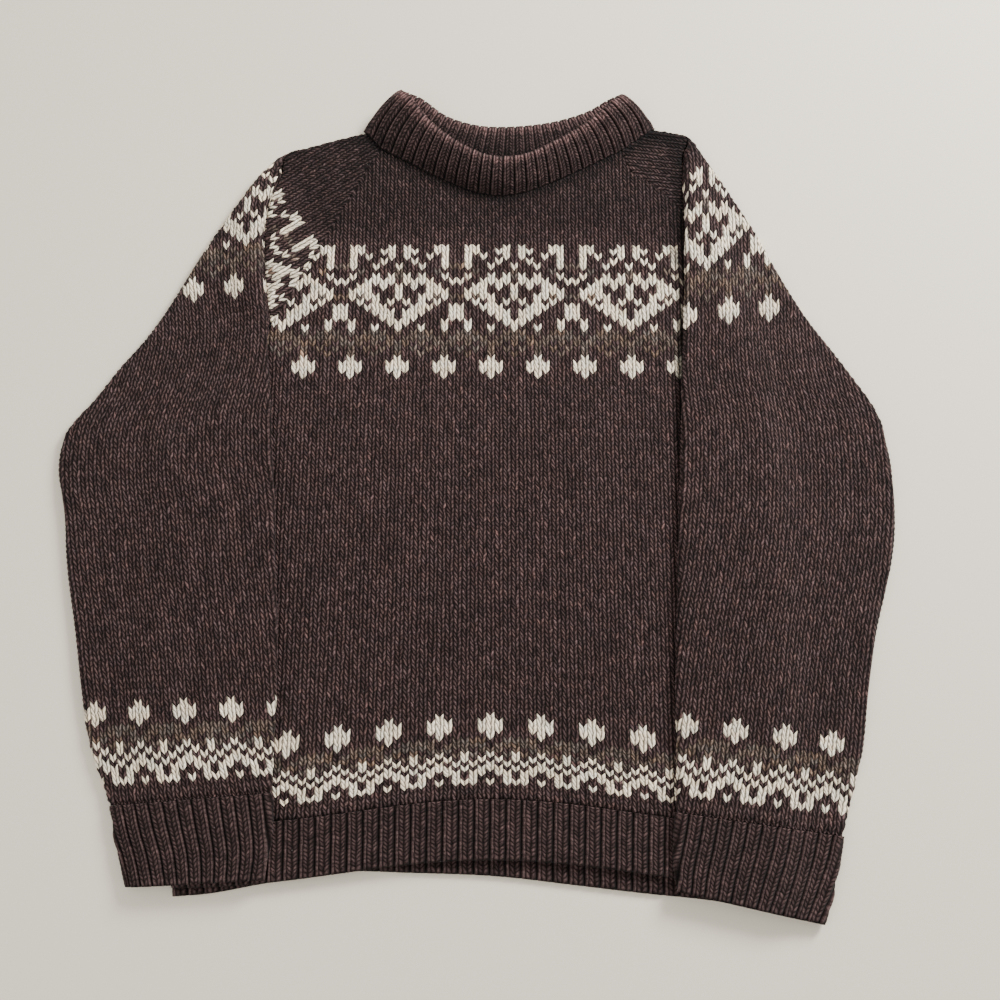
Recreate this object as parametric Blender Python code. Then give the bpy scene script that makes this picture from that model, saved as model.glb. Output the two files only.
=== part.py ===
"""Fair isle pullover with raglan sleeves, laid face up with both sleeves turned down over its sides.

Lengths in the tables are in millimetres on the surface that the pullover lies on: x to the right,
y towards the neck, z up. Each knitted piece is a closed wall of cloth, worked out from the sections
of its table, and the pieces lie on each other in layers.
"""

import bpy
import numpy as np

MILLIMETRE = 0.001

# Driving sizes of the cloth
CLOTH = 3.0               # thickness of the knitted cloth
SEAM_GAP = 0.35           # clearance between a hem rib and its panel
RAGLAN_GAP = 0.52         # clearance across a raglan seam, which slants
CUFF_GAP = 0.45           # clearance between a sleeve and its cuff
LAYER = CLOTH + 0.3       # height from one layer of cloth to the next
BACK_LEVEL = CLOTH / 2    # middle of the back's cloth
FRONT_LEVEL = BACK_LEVEL + LAYER
SLEEVE_LEVEL = FRONT_LEVEL + LAYER
LOFT = 1.6                # air that a soft fold keeps between its two layers

# Middle of the pullover's outline on the surface, which becomes the part's origin
ORIGIN_X = -23.0
ORIGIN_Y = 22.6

# Ribs of the knitted edgings
HEM_RIBS = 37             # on the front, and as many on the back
NECK_RIBS = 54            # all round
CUFF_RIBS = 24            # all round each wrist
RIB_RAISE = 0.9           # height of a rib over the furrow beside it
RIB_PROFILE = (0.0, 1.0, 1.0)   # raise at equal steps across one rib

# Body: how far each side edge lies out, from the underarm down to the hem
SIDES = {
    "left": {"y": (-345, -275, -150, 40), "x": (-277, -281, -288, -286)},
    "right": {"y": (-354, -285, -150, 40), "x": (219, 223, 232, 233)},
}

# Raglan seams, from the neck to the underarm, as points x, y on a smooth curve
RAGLANS = {
    "left": ((-118, 357), (-202, 199), (-286, 40)),
    "right": ((120, 354), (129, 332), (150, 316), (179, 286), (207, 215), (224, 130), (233, 40)),
}

# Share of the way down the raglan seam at which each section of the yoke lies
YOKE_SHARES = (0.0, 0.05, 0.10, 0.16, 0.22, 0.25, 0.33, 0.40, 0.50, 0.57, 0.67, 0.75, 0.88, 1.0)

# Sleeve sections beside the yoke, one for each share above.
# inner: the fold that lies on the front. outer: the shoulder line. rise: share of the pleat's height.
YOKE_SLEEVES = {
    "left": (
        # inner x, inner y, outer x, outer y, rise
        (-128, 366, -134, 375, 0.0),
        (-148, 357, -160, 368, 0.0),
        (-170, 344, -187, 360, 0.0),
        (-198, 335, -214, 351, 0.1),
        (-217, 325, -236, 329, 0.5),
        (-222, 313, -246, 315, 0.75),
        (-230, 277, -270, 275, 1.0),
        (-229, 240, -292, 236, 1.0),
        (-225, 203, -316, 189, 1.0),
        (-221, 178, -333, 160, 1.0),
        (-219, 148, -360, 124, 1.0),
        (-216, 122, -378, 97, 1.0),
        (-212, 85, -402, 65, 1.0),
        (-209, 42, -407, 34, 1.0),
    ),
    "right": (
        (141, 369, 153, 378, 0.0),
        (160, 366, 172, 375, 0.0),
        (174, 361, 188, 370, 0.1),
        (182, 348, 201, 350, 0.4),
        (181, 327, 216, 324, 0.8),
        (181, 304, 230, 299, 1.0),
        (178, 262, 250, 262, 1.0),
        (177, 240, 262, 236, 1.0),
        (176, 206, 279, 201, 1.0),
        (174, 180, 293, 176, 1.0),
        (172, 148, 315, 143, 1.0),
        (170, 122, 332, 117, 1.0),
        (168, 82, 353, 80, 1.0),
        (166, 40, 360, 38, 1.0),
    ),
}
# Number of yoke sections in which the sleeve's front edge still shows beside its fold
SHOWN_SECTIONS = {"left": 10, "right": 6}

# Sleeve sections from below the underarm to the cuff seam, and then those of the cuff
ARM_SECTIONS = {
    "left": (
        # inner x, inner y, outer x, outer y
        (-204, -12, -398, -15),
        (-201, -63, -390, -66),
        (-197, -115, -379, -118),
        (-195, -165, -369, -170),
        (-195, -214, -356, -222),
        (-195, -260, -334, -271),
    ),
    "right": (
        (162, -12, 361, -12),
        (159, -65, 353, -63),
        (156, -118, 337, -115),
        (153, -170, 326, -166),
        (152, -222, 314, -228),
        (150, -276, 292, -296),
    ),
}
CUFF_SECTIONS = {
    "left": (
        (-195, -260, -334, -271),
        (-194, -283, -329, -292),
        (-195, -307, -322, -314),
        (-200, -331, -315, -337),
    ),
    "right": (
        (150, -276, 292, -296),
        (148, -298, 287, -319),
        (147, -319, 280, -343),
        (149, -340, 271, -367),
    ),
}

# Neckband: points x, y, z on its seam and on its folded edge, from the left corner round the front
NECK_SEAM_LOW = 304.5     # y of the front neckline at its lowest
NECK_SEAM_ROUND = 25.0    # half width of the rounded bottom of the front neckline
NECK_SEAM_POWER = 1.1     # how sharply the front neckline curves up to the raglans
BACK_NECK_LOW = 339.0     # y of the back neckline at its lowest
NECK_EDGE_FRONT = (
    (-99, 411, 19), (-92, 403, 25), (-68, 374, 24), (-37, 350, 23), (-7, 337, 23),
    (20, 338, 23), (53, 353, 23), (86, 374, 24), (113, 398, 25), (122, 407, 19),
)
NECK_EDGE_BACK = (
    (122, 407, 19), (110, 406, 12), (92, 396, 9), (65, 386, 8), (22, 379, 7),
    (3, 378, 7), (-18, 379, 7), (-53, 389, 8), (-84, 409, 12), (-99, 411, 19),
)
NECK_INNER = 1.0          # thickness of the band inward of the middle of the panels' cloth
NECK_BULGE = 2.5          # how far the front of the band rounds up between its seam and its edge
NECK_SEAM_GAP = 0.022     # clearance at the neck seam, as a share of the band's height
NECK_CORNERS = {"left": (-134, 375), "right": (153, 378)}

# Hem: seam between the plain knit and the rib, and the lower edges
HEM_MIDDLE_X = -8.0
RIB_SEAM_MIDDLE = -265.5
RIB_SEAM_DROP = 20.0
RIB_SEAM_REACH = 230.0
FRONT_HEM_MIDDLE = -315.5
FRONT_HEM_DROP = 22.0
FRONT_HEM_REACH = 260.0
BACK_HEM = (
    # x, y of the back's lower edge
    (-277, -345), (-249, -343), (-202, -335), (-133, -325), (-76, -326), (0, -329), (64, -336),
    (127, -343), (169, -347), (219, -354),
)
BACK_RIB_HEIGHT = 57.0

# Soft swells of the front, which keep some air under it: middle, half lengths and height
FRONT_SWELLS = (
    # x, y, half width, half height, raise
    (-20, 230, 90, 60, 1.8),
    (-90, 60, 50, 90, 1.4),
    (60, 40, 45, 110, 1.6),
    (-30, -120, 60, 70, 1.7),
    (95, -170, 35, 70, 1.2),
    (-125, -190, 35, 60, 1.3),
)

# Soft ridges and dents across each sleeve's upper layer
SLEEVE_SWELLS = {
    "left": (
        (-300, 120, 60, 45, 1.5),
        (-290, 10, 55, 40, 1.3),
        (-320, -90, 45, 50, 1.5),
        (-260, -190, 50, 40, 1.2),
    ),
    "right": (
        (255, 130, 55, 50, 1.5),
        (250, 0, 60, 45, 1.4),
        (290, -100, 40, 50, 1.4),
        (225, -180, 50, 45, 1.3),
    ),
}

COLOURS = {
    "knit": (0.076, 0.058, 0.053),
    "rib": (0.066, 0.050, 0.046),
}
KNIT_ROUGHNESS = 0.95


def clear_scene():
    """Remove whatever the file holds, so that only the pullover is in it."""
    for item in list(bpy.data.objects):
        bpy.data.objects.remove(item, do_unlink=True)


def knit_material(name, colour):
    """A matt wool material with one plain colour."""
    material = bpy.data.materials.new(name)
    material.use_nodes = True
    shader = material.node_tree.nodes["Principled BSDF"]
    shader.inputs["Base Color"].default_value = (*colour, 1.0)
    shader.inputs["Roughness"].default_value = KNIT_ROUGHNESS
    shader.inputs["Metallic"].default_value = 0.0
    return material


def smooth_curve(points, shares):
    """Points at the given shares of a curve's length: cubic pieces whose slopes pass through the points."""
    points = np.asarray(points, dtype=float)
    steps = np.linalg.norm(np.diff(points, axis=0), axis=1)
    places = np.concatenate(([0.0], np.cumsum(steps))) / steps.sum()
    slopes = np.gradient(points, places, axis=0)
    shares = np.clip(np.asarray(shares, dtype=float), 0.0, 1.0)
    piece = np.clip(np.searchsorted(places, shares, side="right") - 1, 0, len(steps) - 1)
    span = (places[piece + 1] - places[piece])[:, None]
    t = (shares - places[piece])[:, None] / span
    start = (2 * t**3 - 3 * t**2 + 1) * points[piece] + (t**3 - 2 * t**2 + t) * span * slopes[piece]
    end = (3 * t**2 - 2 * t**3) * points[piece + 1] + (t**3 - t**2) * span * slopes[piece + 1]
    return start + end


def smooth_step(value):
    """Rise from 0 to 1 with level ends."""
    value = np.clip(value, 0.0, 1.0)
    return value * value * (3.0 - 2.0 * value)


def swell(x, y, table):
    """Sum of the rounded mounds of a table, each falling away as a bell."""
    total = np.zeros(np.broadcast(x, y).shape)
    for middle_x, middle_y, half_width, half_height, height in table:
        reach = ((x - middle_x) / half_width) ** 2 + ((y - middle_y) / half_height) ** 2
        total = total + height * np.exp(-reach)
    return total


def hem_drop(x, middle, drop, reach):
    """Height of an edge that sags by a half wave from its middle to its sides."""
    turn = np.clip(np.abs(x - HEM_MIDDLE_X) / reach, 0.0, 1.0) * np.pi
    return middle - drop * (1.0 - np.cos(turn)) / 2.0


def side_edge(side, y):
    """How far out the body's side edge lies at a height y."""
    table = SIDES[side]
    return np.interp(y, table["y"], table["x"])


def front_neckline(x):
    """Height of the front's neck edge, a scoop between the two raglan seams."""
    left_x, left_y = RAGLANS["left"][0]
    right_x, right_y = RAGLANS["right"][0]
    half = np.where(x < 0, -left_x, right_x)
    top = np.where(x < 0, left_y, right_y)
    reach = np.hypot(x, NECK_SEAM_ROUND) - NECK_SEAM_ROUND
    share = reach / (np.hypot(half, NECK_SEAM_ROUND) - NECK_SEAM_ROUND)
    return NECK_SEAM_LOW + (top - NECK_SEAM_LOW) * share**NECK_SEAM_POWER


def back_neckline(x):
    """Height of the back's neck edge, shallower than the front's."""
    left_x, left_y = RAGLANS["left"][0]
    right_x, right_y = RAGLANS["right"][0]
    half = np.where(x < 0, -left_x, right_x)
    top = np.where(x < 0, left_y, right_y)
    return BACK_NECK_LOW + (top - BACK_NECK_LOW) * (np.abs(x) / half) ** 2


def directions(grid, axis, closed):
    """Unit vectors along one way of a grid of points."""
    if closed:
        step = np.roll(grid, -1, axis=axis) - np.roll(grid, 1, axis=axis)
    else:
        step = np.gradient(grid, axis=axis)
    return step / np.linalg.norm(step, axis=2, keepdims=True)


def sheet_normals(middle, hint, closed=False, along=None):
    """Normals of a sheet: square to both its ways, turned to agree with the hint for one point."""
    across = directions(middle, 1, closed)
    if along is None:
        along = directions(middle, 0, False)
    normal = np.cross(across, along)
    normal = normal / np.linalg.norm(normal, axis=2, keepdims=True)
    row, column, wanted = hint
    if np.dot(normal[row, column], wanted) < 0:
        normal = -normal
    return normal


def two_triangles(first, second, third, fourth):
    """The two halves of a four-sided face."""
    return [(first, second, third), (first, third, fourth)]


def close_wall(name, outer, inner, material, closed=False, left_out=None):
    """One solid from two matching grids of points, with rims along every free edge."""
    rows, columns = outer.shape[:2]
    count = rows * columns
    last = columns if closed else columns - 1
    faces = []
    edges = {}
    for row in range(rows - 1):
        for column in range(last):
            if left_out is not None and left_out[row, column]:
                continue
            right = (column + 1) % columns
            corners = (row * columns + column, row * columns + right,
                       (row + 1) * columns + right, (row + 1) * columns + column)
            faces += two_triangles(*corners)
            faces += two_triangles(*(count + corner for corner in reversed(corners)))
            for start, end in zip(corners, corners[1:] + corners[:1]):
                edges[(start, end)] = True
    for start, end in edges:
        if (end, start) not in edges:
            faces += two_triangles(end, start, count + start, count + end)
    points = np.concatenate((outer.reshape(-1, 3), inner.reshape(-1, 3)))
    points = (points - (ORIGIN_X, ORIGIN_Y, 0.0)) * MILLIMETRE
    if enclosed_volume(points, faces) < 0:
        faces = [tuple(reversed(face)) for face in faces]
    mesh = bpy.data.meshes.new(name)
    mesh.from_pydata(points.tolist(), [], faces)
    mesh.materials.append(material)
    mesh.shade_smooth()
    mesh.set_sharp_from_angle(angle=np.radians(50.0))
    piece = bpy.data.objects.new(name, mesh)
    bpy.context.scene.collection.objects.link(piece)
    return piece


def enclosed_volume(points, faces):
    """Signed volume inside a closed set of faces."""
    corners = points[np.array(faces)]
    return np.einsum("ij,ij->i", corners[:, 0], np.cross(corners[:, 1], corners[:, 2])).sum() / 6.0


def rib_raise(ribs):
    """Raise of each column of an edging: the profile of one rib, over and over."""
    return RIB_RAISE * np.tile(RIB_PROFILE, ribs)


def body_grid(level, neckline, hem_seam, columns, hem_rows, table=()):
    """Middle of a body panel's cloth, in rows from the hem seam to the neckline, with its swells.

    Below the underarm a row runs from side edge to side edge. Above it a row runs between equal
    shares of the two raglan seams, and bends down to meet the neckline as it nears the top.
    """
    shares = np.array(YOKE_SHARES[::-1])
    left_raglan = smooth_curve(RAGLANS["left"], shares)
    right_raglan = smooth_curve(RAGLANS["right"], shares)
    left_low = side_edge("left", hem_seam(SIDES["left"]["x"][0]))
    right_low = side_edge("right", hem_seam(SIDES["right"]["x"][0]))
    across = np.linspace(0.0, 1.0, columns)
    rows = []
    for part in np.linspace(0.0, 1.0, hem_rows, endpoint=False):
        left_y = hem_seam(left_low) + part * (left_raglan[0, 1] - hem_seam(left_low))
        right_y = hem_seam(right_low) + part * (right_raglan[0, 1] - hem_seam(right_low))
        left_x = side_edge("left", left_y)
        right_x = side_edge("right", right_y)
        x = left_x + across * (right_x - left_x)
        level_y = left_y + across * (right_y - left_y)
        sag = hem_seam(x) - (hem_seam(left_low) + across * (hem_seam(right_low) - hem_seam(left_low)))
        rows.append(np.stack((x, level_y + sag * (1.0 - part)), axis=1))
    for index, share in enumerate(shares):
        x = left_raglan[index, 0] + across * (right_raglan[index, 0] - left_raglan[index, 0])
        level_y = left_raglan[index, 1] + across * (right_raglan[index, 1] - left_raglan[index, 1])
        neck_x = left_raglan[-1, 0] + across * (right_raglan[-1, 0] - left_raglan[-1, 0])
        chord = left_raglan[-1, 1] + across * (right_raglan[-1, 1] - left_raglan[-1, 1])
        scoop = neckline(neck_x) - chord
        rows.append(np.stack((x, level_y + scoop * (1.0 - share) ** 2), axis=1))
    plan = np.array(rows)
    height = level + swell(plan[..., 0], plan[..., 1], table)
    return np.dstack((plan, height))


def front_seam(x):
    """Height of the seam between the front and its rib."""
    return hem_drop(x, RIB_SEAM_MIDDLE, RIB_SEAM_DROP, RIB_SEAM_REACH)


def front_lower_edge(x):
    """Height of the front rib's lower edge."""
    return hem_drop(x, FRONT_HEM_MIDDLE, FRONT_HEM_DROP, FRONT_HEM_REACH)


def back_lower_edge(x):
    """Height of the back rib's lower edge, which shows below the front's."""
    fine = smooth_curve(BACK_HEM, np.linspace(0.0, 1.0, 60))
    return np.interp(x, fine[:, 0], fine[:, 1])


def back_seam(x):
    """Height of the seam between the back and its rib."""
    return back_lower_edge(x) + BACK_RIB_HEIGHT


def vertical_wall(name, middle, material, raised=None):
    """A panel that lies flat: its cloth is thickened straight up and down.

    raised is the height of each column of a rib over its furrows, which are sunk into the cloth.
    """
    half = np.array((0.0, 0.0, CLOTH / 2))
    upper = middle + half
    lower = middle - half
    if raised is not None:
        upper[..., 2] += raised - RIB_RAISE
    return close_wall(name, upper, lower, material)


def make_hem_rib(name, level, panel, lower_edge, material):
    """A ribbed hem from a panel's lowest row to its own lower edge, with ribs on its upper face."""
    across = np.linspace(0.0, 1.0, HEM_RIBS * len(RIB_PROFILE) + 1)
    seam_x = panel[0, 0, 0] + across * (panel[0, -1, 0] - panel[0, 0, 0])
    seam_y = np.interp(seam_x, panel[0, :, 0], panel[0, :, 1]) - SEAM_GAP
    edge_x = SIDES["left"]["x"][0] + across * (SIDES["right"]["x"][0] - SIDES["left"]["x"][0])
    rows = []
    for part in (0.0, 0.5, 1.0):
        x = seam_x + part * (edge_x - seam_x)
        rows.append(np.stack((x, seam_y + part * (lower_edge(edge_x) - seam_y)), axis=1))
    plan = np.array(rows)
    middle = np.dstack((plan, np.full(plan.shape[:2], level)))
    raised = np.append(rib_raise(HEM_RIBS), 0.0)
    return vertical_wall(name, middle, material, raised=raised[None, :])


def sleeve_top(distance, width, drop_start, fold_top, outer_top):
    """Height of a sleeve's upper layer: level by its inner fold, then sloping down to its outer edge."""
    drop = smooth_step((distance - drop_start) / SIDE_SLOPE)
    crown = 1.0 - (2.0 * distance / width - 1.0) ** 4
    return fold_top + (outer_top - fold_top) * drop + SLEEVE_CROWN * crown


# Pleat at a sleeve's inner fold: place beyond the fold, and share of the rise, at five points
PLEAT = {"place": (-2.0, 0.8, 1.5, 2.2, 5.0), "rise": (0.0, 0.12, 0.45, 0.82, 1.0)}
NARROW_FOLD = 30.0        # width of a section below which its pleat narrows in step
SIDE_SLOPE = 38.0         # run over which the upper layer comes down past the body's side
SIDE_CLEARANCE = 4.0      # how far past the layer below the upper layer starts to come down
SLEEVE_CROWN = 0.5        # rise of the upper layer between its folds

# Underarm seam of a closed sleeve, as distances out from the body's side edge
SEAM_START = 14.0         # edge of the cloth that runs on over the front
SEAM_CLIMBED = 6.0        # where that cloth has climbed to the height of the front
SEAM_LAP = 3.0            # edge of the cloth on the surface, which the other laps over

TURN_CELLS = 4            # cells round each fold
# Cells across the layer on the front, the upper layer, and the layer on the surface
SLEEVE_CELLS = {"under": 3, "over": 7, "floor": 3}
CUFF_CELLS = {"under": 18, "over": 33, "floor": 13}


def sleeve_section(side, fold, outer, rise, shown, front_edge, back_edge, cells):
    """One section of a folded sleeve, from its front edge over its upper layer to its back edge.

    fold and outer are the ends of the section in plan. Where the front edge shows, the cloth steps up
    a pleat at the fold. Elsewhere it lies under the upper layer and turns round the fold.
    """
    fold = np.array(fold, dtype=float)
    outer = np.array(outer, dtype=float)
    width = np.linalg.norm(outer - fold)
    outward = (outer - fold) / width
    fold_top = SLEEVE_LEVEL + LAYER + LOFT
    outer_top = BACK_LEVEL + LAYER + LOFT
    low = SLEEVE_LEVEL
    if shown:
        low = FRONT_LEVEL
        fold_top = FRONT_LEVEL + rise * (fold_top - FRONT_LEVEL)
        outer_top = FRONT_LEVEL + rise * (outer_top - FRONT_LEVEL)
        place = np.array(PLEAT["place"]) * min(1.0, width / NARROW_FOLD)
        height = low + np.array(PLEAT["rise"]) * (fold_top - low)
        drop_start = place[-1]
    else:
        radius = (fold_top - low) / 2
        turn = np.linspace(0.0, np.pi, TURN_CELLS + 1)
        place = CLOTH / 2 + radius * (1.0 - np.sin(turn))
        height = low + radius * (1.0 - np.cos(turn))
        drop_start = abs(front_edge[-1][0] - fold[0]) + SIDE_CLEARANCE
    pleat = np.column_stack((fold + place[:, None] * outward, height))
    # the outer fold, from the upper layer down to the surface
    outer_radius = (outer_top - BACK_LEVEL) / 2
    turn = np.linspace(0.0, np.pi, TURN_CELLS + 1)
    reach = width - CLOTH / 2 - outer_radius * (1.0 - np.sin(turn))
    outer_height = BACK_LEVEL + outer_radius * (1.0 + np.cos(turn))
    outer_turn = np.column_stack((fold + reach[:, None] * outward, outer_height))
    # the upper layer between the two folds
    part = np.linspace(0.0, 1.0, cells["over"] + 1)[1:-1]
    distance = place[-1] + part * (reach[0] - place[-1])
    plan = fold + distance[:, None] * outward
    top = sleeve_top(distance, width, drop_start, fold_top, outer_top)
    blend = np.sin(np.pi * part)
    top = top + rise * blend * swell(plan[:, 0], plan[:, 1], SLEEVE_SWELLS[side])
    over = np.column_stack((plan, top))
    # the layer under it, and the layer on the surface
    under = under_layer(front_edge, pleat[0], cells["under"])
    floor = np.linspace(outer_turn[-1], np.append(back_edge, BACK_LEVEL), cells["floor"] + 1)[1:]
    return np.concatenate((under, pleat, over, outer_turn, floor))


def under_layer(front_edge, end, cells):
    """Points from the front edge to the fold, through a second point where the cloth has climbed."""
    if len(front_edge) == 1:
        return np.linspace(front_edge[0], end, cells + 1)[:-1]
    climbed = np.linspace(front_edge[1], end, cells)[:-1]
    return np.concatenate(([front_edge[0]], climbed))


def arm_edges(side, fold, outer):
    """Front and back edges of a closed sleeve section, which meet beside the body's side edge."""
    fold = np.array(fold, dtype=float)
    outer = np.array(outer, dtype=float)
    edge = side_edge(side, fold[1])
    sign = np.sign(outer[0] - fold[0])
    slope = (outer[1] - fold[1]) / (outer[0] - fold[0])
    start_x = edge + sign * SEAM_START
    climbed_x = edge + sign * SEAM_CLIMBED
    back_x = edge + sign * SEAM_LAP
    start = np.array((start_x, fold[1] + slope * (start_x - fold[0]), FRONT_LEVEL))
    climbed = np.array((climbed_x, fold[1] + slope * (climbed_x - fold[0]), SLEEVE_LEVEL))
    back = np.array((back_x, fold[1] + slope * (back_x - fold[0])))
    return (start, climbed), back


def sleeve_walls(middle, cells):
    """Outward directions all over a sleeve, square to the line of each section."""
    pleat_end = cells["under"] + TURN_CELLS
    turn_row = middle[:, pleat_end, :2] - middle[:, pleat_end + cells["over"], :2]
    along = np.column_stack((-turn_row[:, 1], turn_row[:, 0], np.zeros(len(turn_row))))
    along = along / np.linalg.norm(along, axis=1, keepdims=True)
    along = np.broadcast_to(along[:, None, :], middle.shape)
    over = pleat_end + cells["over"] // 2
    return sheet_normals(middle, (len(middle) // 2, over, (0.0, 0.0, 1.0)), along=along)


def make_sleeve(side, material):
    """A raglan sleeve from the neck to its cuff seam, folded over the body's side."""
    outward = -1.0 if side == "left" else 1.0
    raglan = smooth_curve(RAGLANS[side], YOKE_SHARES)
    rows = []
    for index, (fold_x, fold_y, outer_x, outer_y, rise) in enumerate(YOKE_SLEEVES[side]):
        shown = index < SHOWN_SECTIONS[side]
        fold = (fold_x, fold_y)
        outer = (outer_x, outer_y)
        edge = raglan[index] + RAGLAN_GAP * np.array((outward, 0.7))
        level = FRONT_LEVEL if shown else SLEEVE_LEVEL
        front_edge = (np.append(edge, level),)
        underarm = index == len(YOKE_SHARES) - 1
        if underarm:
            front_edge, edge = arm_edges(side, fold, outer)
        rows.append(sleeve_section(side, fold, outer, rise, shown, front_edge, edge, SLEEVE_CELLS))
    for fold_x, fold_y, outer_x, outer_y in ARM_SECTIONS[side]:
        front_edge, edge = arm_edges(side, (fold_x, fold_y), (outer_x, outer_y))
        rows.append(sleeve_section(side, (fold_x, fold_y), (outer_x, outer_y), 1.0, False,
                                   front_edge, edge, SLEEVE_CELLS))
    middle = np.array(rows)
    normal = sleeve_walls(middle, SLEEVE_CELLS)
    left_out = np.zeros((len(rows) - 1, middle.shape[1] - 1), dtype=bool)
    left_out[SHOWN_SECTIONS[side] - 1, :SLEEVE_CELLS["under"] + 2] = True
    outer = middle + normal * CLOTH / 2
    inner = middle - normal * CLOTH / 2
    outer[..., 2] = np.maximum(outer[..., 2], 0.0)
    return close_wall(side + "_sleeve", outer, inner, material, left_out=left_out)


def make_cuff(side, material):
    """A ribbed cuff that goes on from the sleeve's last section, with ribs on its outer face."""
    rows = []
    for index, (fold_x, fold_y, outer_x, outer_y) in enumerate(CUFF_SECTIONS[side]):
        shift = CUFF_GAP if index == 0 else 0.0
        fold = (fold_x, fold_y - shift)
        outer = (outer_x, outer_y - shift)
        front_edge, edge = arm_edges(side, fold, outer)
        rows.append(sleeve_section(side, fold, outer, 0.0, False, front_edge, edge, CUFF_CELLS))
    middle = np.array(rows)
    normal = sleeve_walls(middle, CUFF_CELLS)
    raised = np.append(rib_raise(CUFF_RIBS), 0.0)[None, :, None]
    under = (normal[..., 2:] < -0.5)
    outer = middle + normal * (CLOTH / 2 + np.where(under, 0.0, raised))
    inner = middle - normal * CLOTH / 2
    outer[..., 2] = np.maximum(outer[..., 2], 0.0)
    return close_wall(side + "_cuff", outer, inner, material)


def corner_points(side, neck_end, level):
    """Points from a corner of the neck opening straight to the end of the raglan seam."""
    corner = np.array(NECK_CORNERS[side], dtype=float)
    end = np.array(neck_end, dtype=float)
    points = [(*corner, FRONT_LEVEL - LAYER / 2)]
    for part in (0.2, 0.6):
        points.append((*(corner + part * (end - corner)), level))
    return points


def neck_seam_ring(count):
    """Points round the neck opening, from the left corner along the front and back along the back."""
    left_end = RAGLANS["left"][0]
    right_end = RAGLANS["right"][0]
    inner_x = np.linspace(left_end[0], right_end[0], 15)
    front = corner_points("left", left_end, FRONT_LEVEL)
    front += [(x, float(front_neckline(x)), FRONT_LEVEL) for x in inner_x]
    front += corner_points("right", right_end, FRONT_LEVEL)[::-1]
    back = corner_points("right", right_end, BACK_LEVEL)
    back += [(x, float(back_neckline(x)), BACK_LEVEL) for x in inner_x[::-1]]
    back += corner_points("left", left_end, BACK_LEVEL)[::-1]
    shares = np.linspace(0.0, 1.0, count // 2, endpoint=False)
    return np.concatenate((smooth_curve(front, shares), smooth_curve(back, shares)))


def neck_edge_ring(count):
    """Points round the neckband's folded edge, in step with those round its seam."""
    shares = np.linspace(0.0, 1.0, count // 2, endpoint=False)
    return np.concatenate((smooth_curve(NECK_EDGE_FRONT, shares), smooth_curve(NECK_EDGE_BACK, shares)))


def seam_normals(seam, edge):
    """Outward directions round the neck seam: up on the front, down on the back, sideways between."""
    upward = np.clip((seam[:, 2] - FRONT_LEVEL + LAYER / 2) / (LAYER / 2), -1.0, 1.0)
    outward = seam[:, :2] - seam[:, :2].mean(axis=0)
    rise = (edge - seam)[:, :2]
    rise = rise / np.linalg.norm(rise, axis=1, keepdims=True)
    outward = outward - np.sum(outward * rise, axis=1, keepdims=True) * rise
    outward = outward / np.linalg.norm(outward, axis=1, keepdims=True)
    level = np.sqrt(1.0 - upward**2)[:, None]
    return np.column_stack((outward * level, upward))


def make_neckband(material):
    """The ribbed band round the neck: it rises from its seam and leans back over the opening."""
    count = NECK_RIBS * len(RIB_PROFILE)
    seam = neck_seam_ring(count)
    edge = neck_edge_ring(count)
    front = np.maximum(np.sin(2.0 * np.pi * np.arange(count) / count), 0.0)
    rows = []
    for part in (NECK_SEAM_GAP, 0.35, 0.7, 1.0):
        row = seam + part * (edge - seam)
        row[:, 2] += NECK_BULGE * front * np.sin(np.pi * (part - NECK_SEAM_GAP))
        rows.append(row)
    middle = np.array(rows)
    normal = sheet_normals(middle, (1, count // 4, (0.0, -0.5, 1.0)), closed=True)
    normal[0] = seam_normals(seam, edge)
    raised = rib_raise(NECK_RIBS)[None, :, None]
    outer = middle + normal * (CLOTH / 2 + raised)
    inner = middle - normal * NECK_INNER
    outer[..., 2] = np.maximum(outer[..., 2], 0.0)
    return close_wall("neckband", outer, inner, material, closed=True)


def main():
    """Make every piece of the pullover."""
    clear_scene()
    knit = {name: knit_material(name + "_knit", COLOURS["knit"])
            for name in ("front", "back", "left_sleeve", "right_sleeve")}
    rib = {name: knit_material(name + "_rib", COLOURS["rib"])
           for name in ("front_hem", "back_hem", "left_cuff", "right_cuff", "neckband")}
    back = body_grid(BACK_LEVEL, back_neckline, back_seam, columns=13, hem_rows=5)
    vertical_wall("back_panel", back, knit["back"])
    make_hem_rib("back_hem_rib", BACK_LEVEL, back, back_lower_edge, rib["back_hem"])
    front = body_grid(FRONT_LEVEL, front_neckline, front_seam, columns=21, hem_rows=9,
                      table=FRONT_SWELLS)
    vertical_wall("front_panel", front, knit["front"])
    make_hem_rib("front_hem_rib", FRONT_LEVEL, front, front_lower_edge, rib["front_hem"])
    for side in ("left", "right"):
        make_sleeve(side, knit[side + "_sleeve"])
        make_cuff(side, rib[side + "_cuff"])
    make_neckband(rib["neckband"])


main()
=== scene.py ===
"""Looks of the fair isle pullover: every stitch, rib and fold of its knitted pieces.

Lengths are in millimetres on the surface that the pullover lies on: x to the right, y towards the
neck, z up, as in the tables that the solids are made from. Stitches are counted across in wales and
down in rows, so that row 0 is the first row of the diamonds and row 117 meets the rib.
"""

import bpy
import numpy as np
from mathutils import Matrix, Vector
from mathutils.geometry import delaunay_2d_cdt


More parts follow.
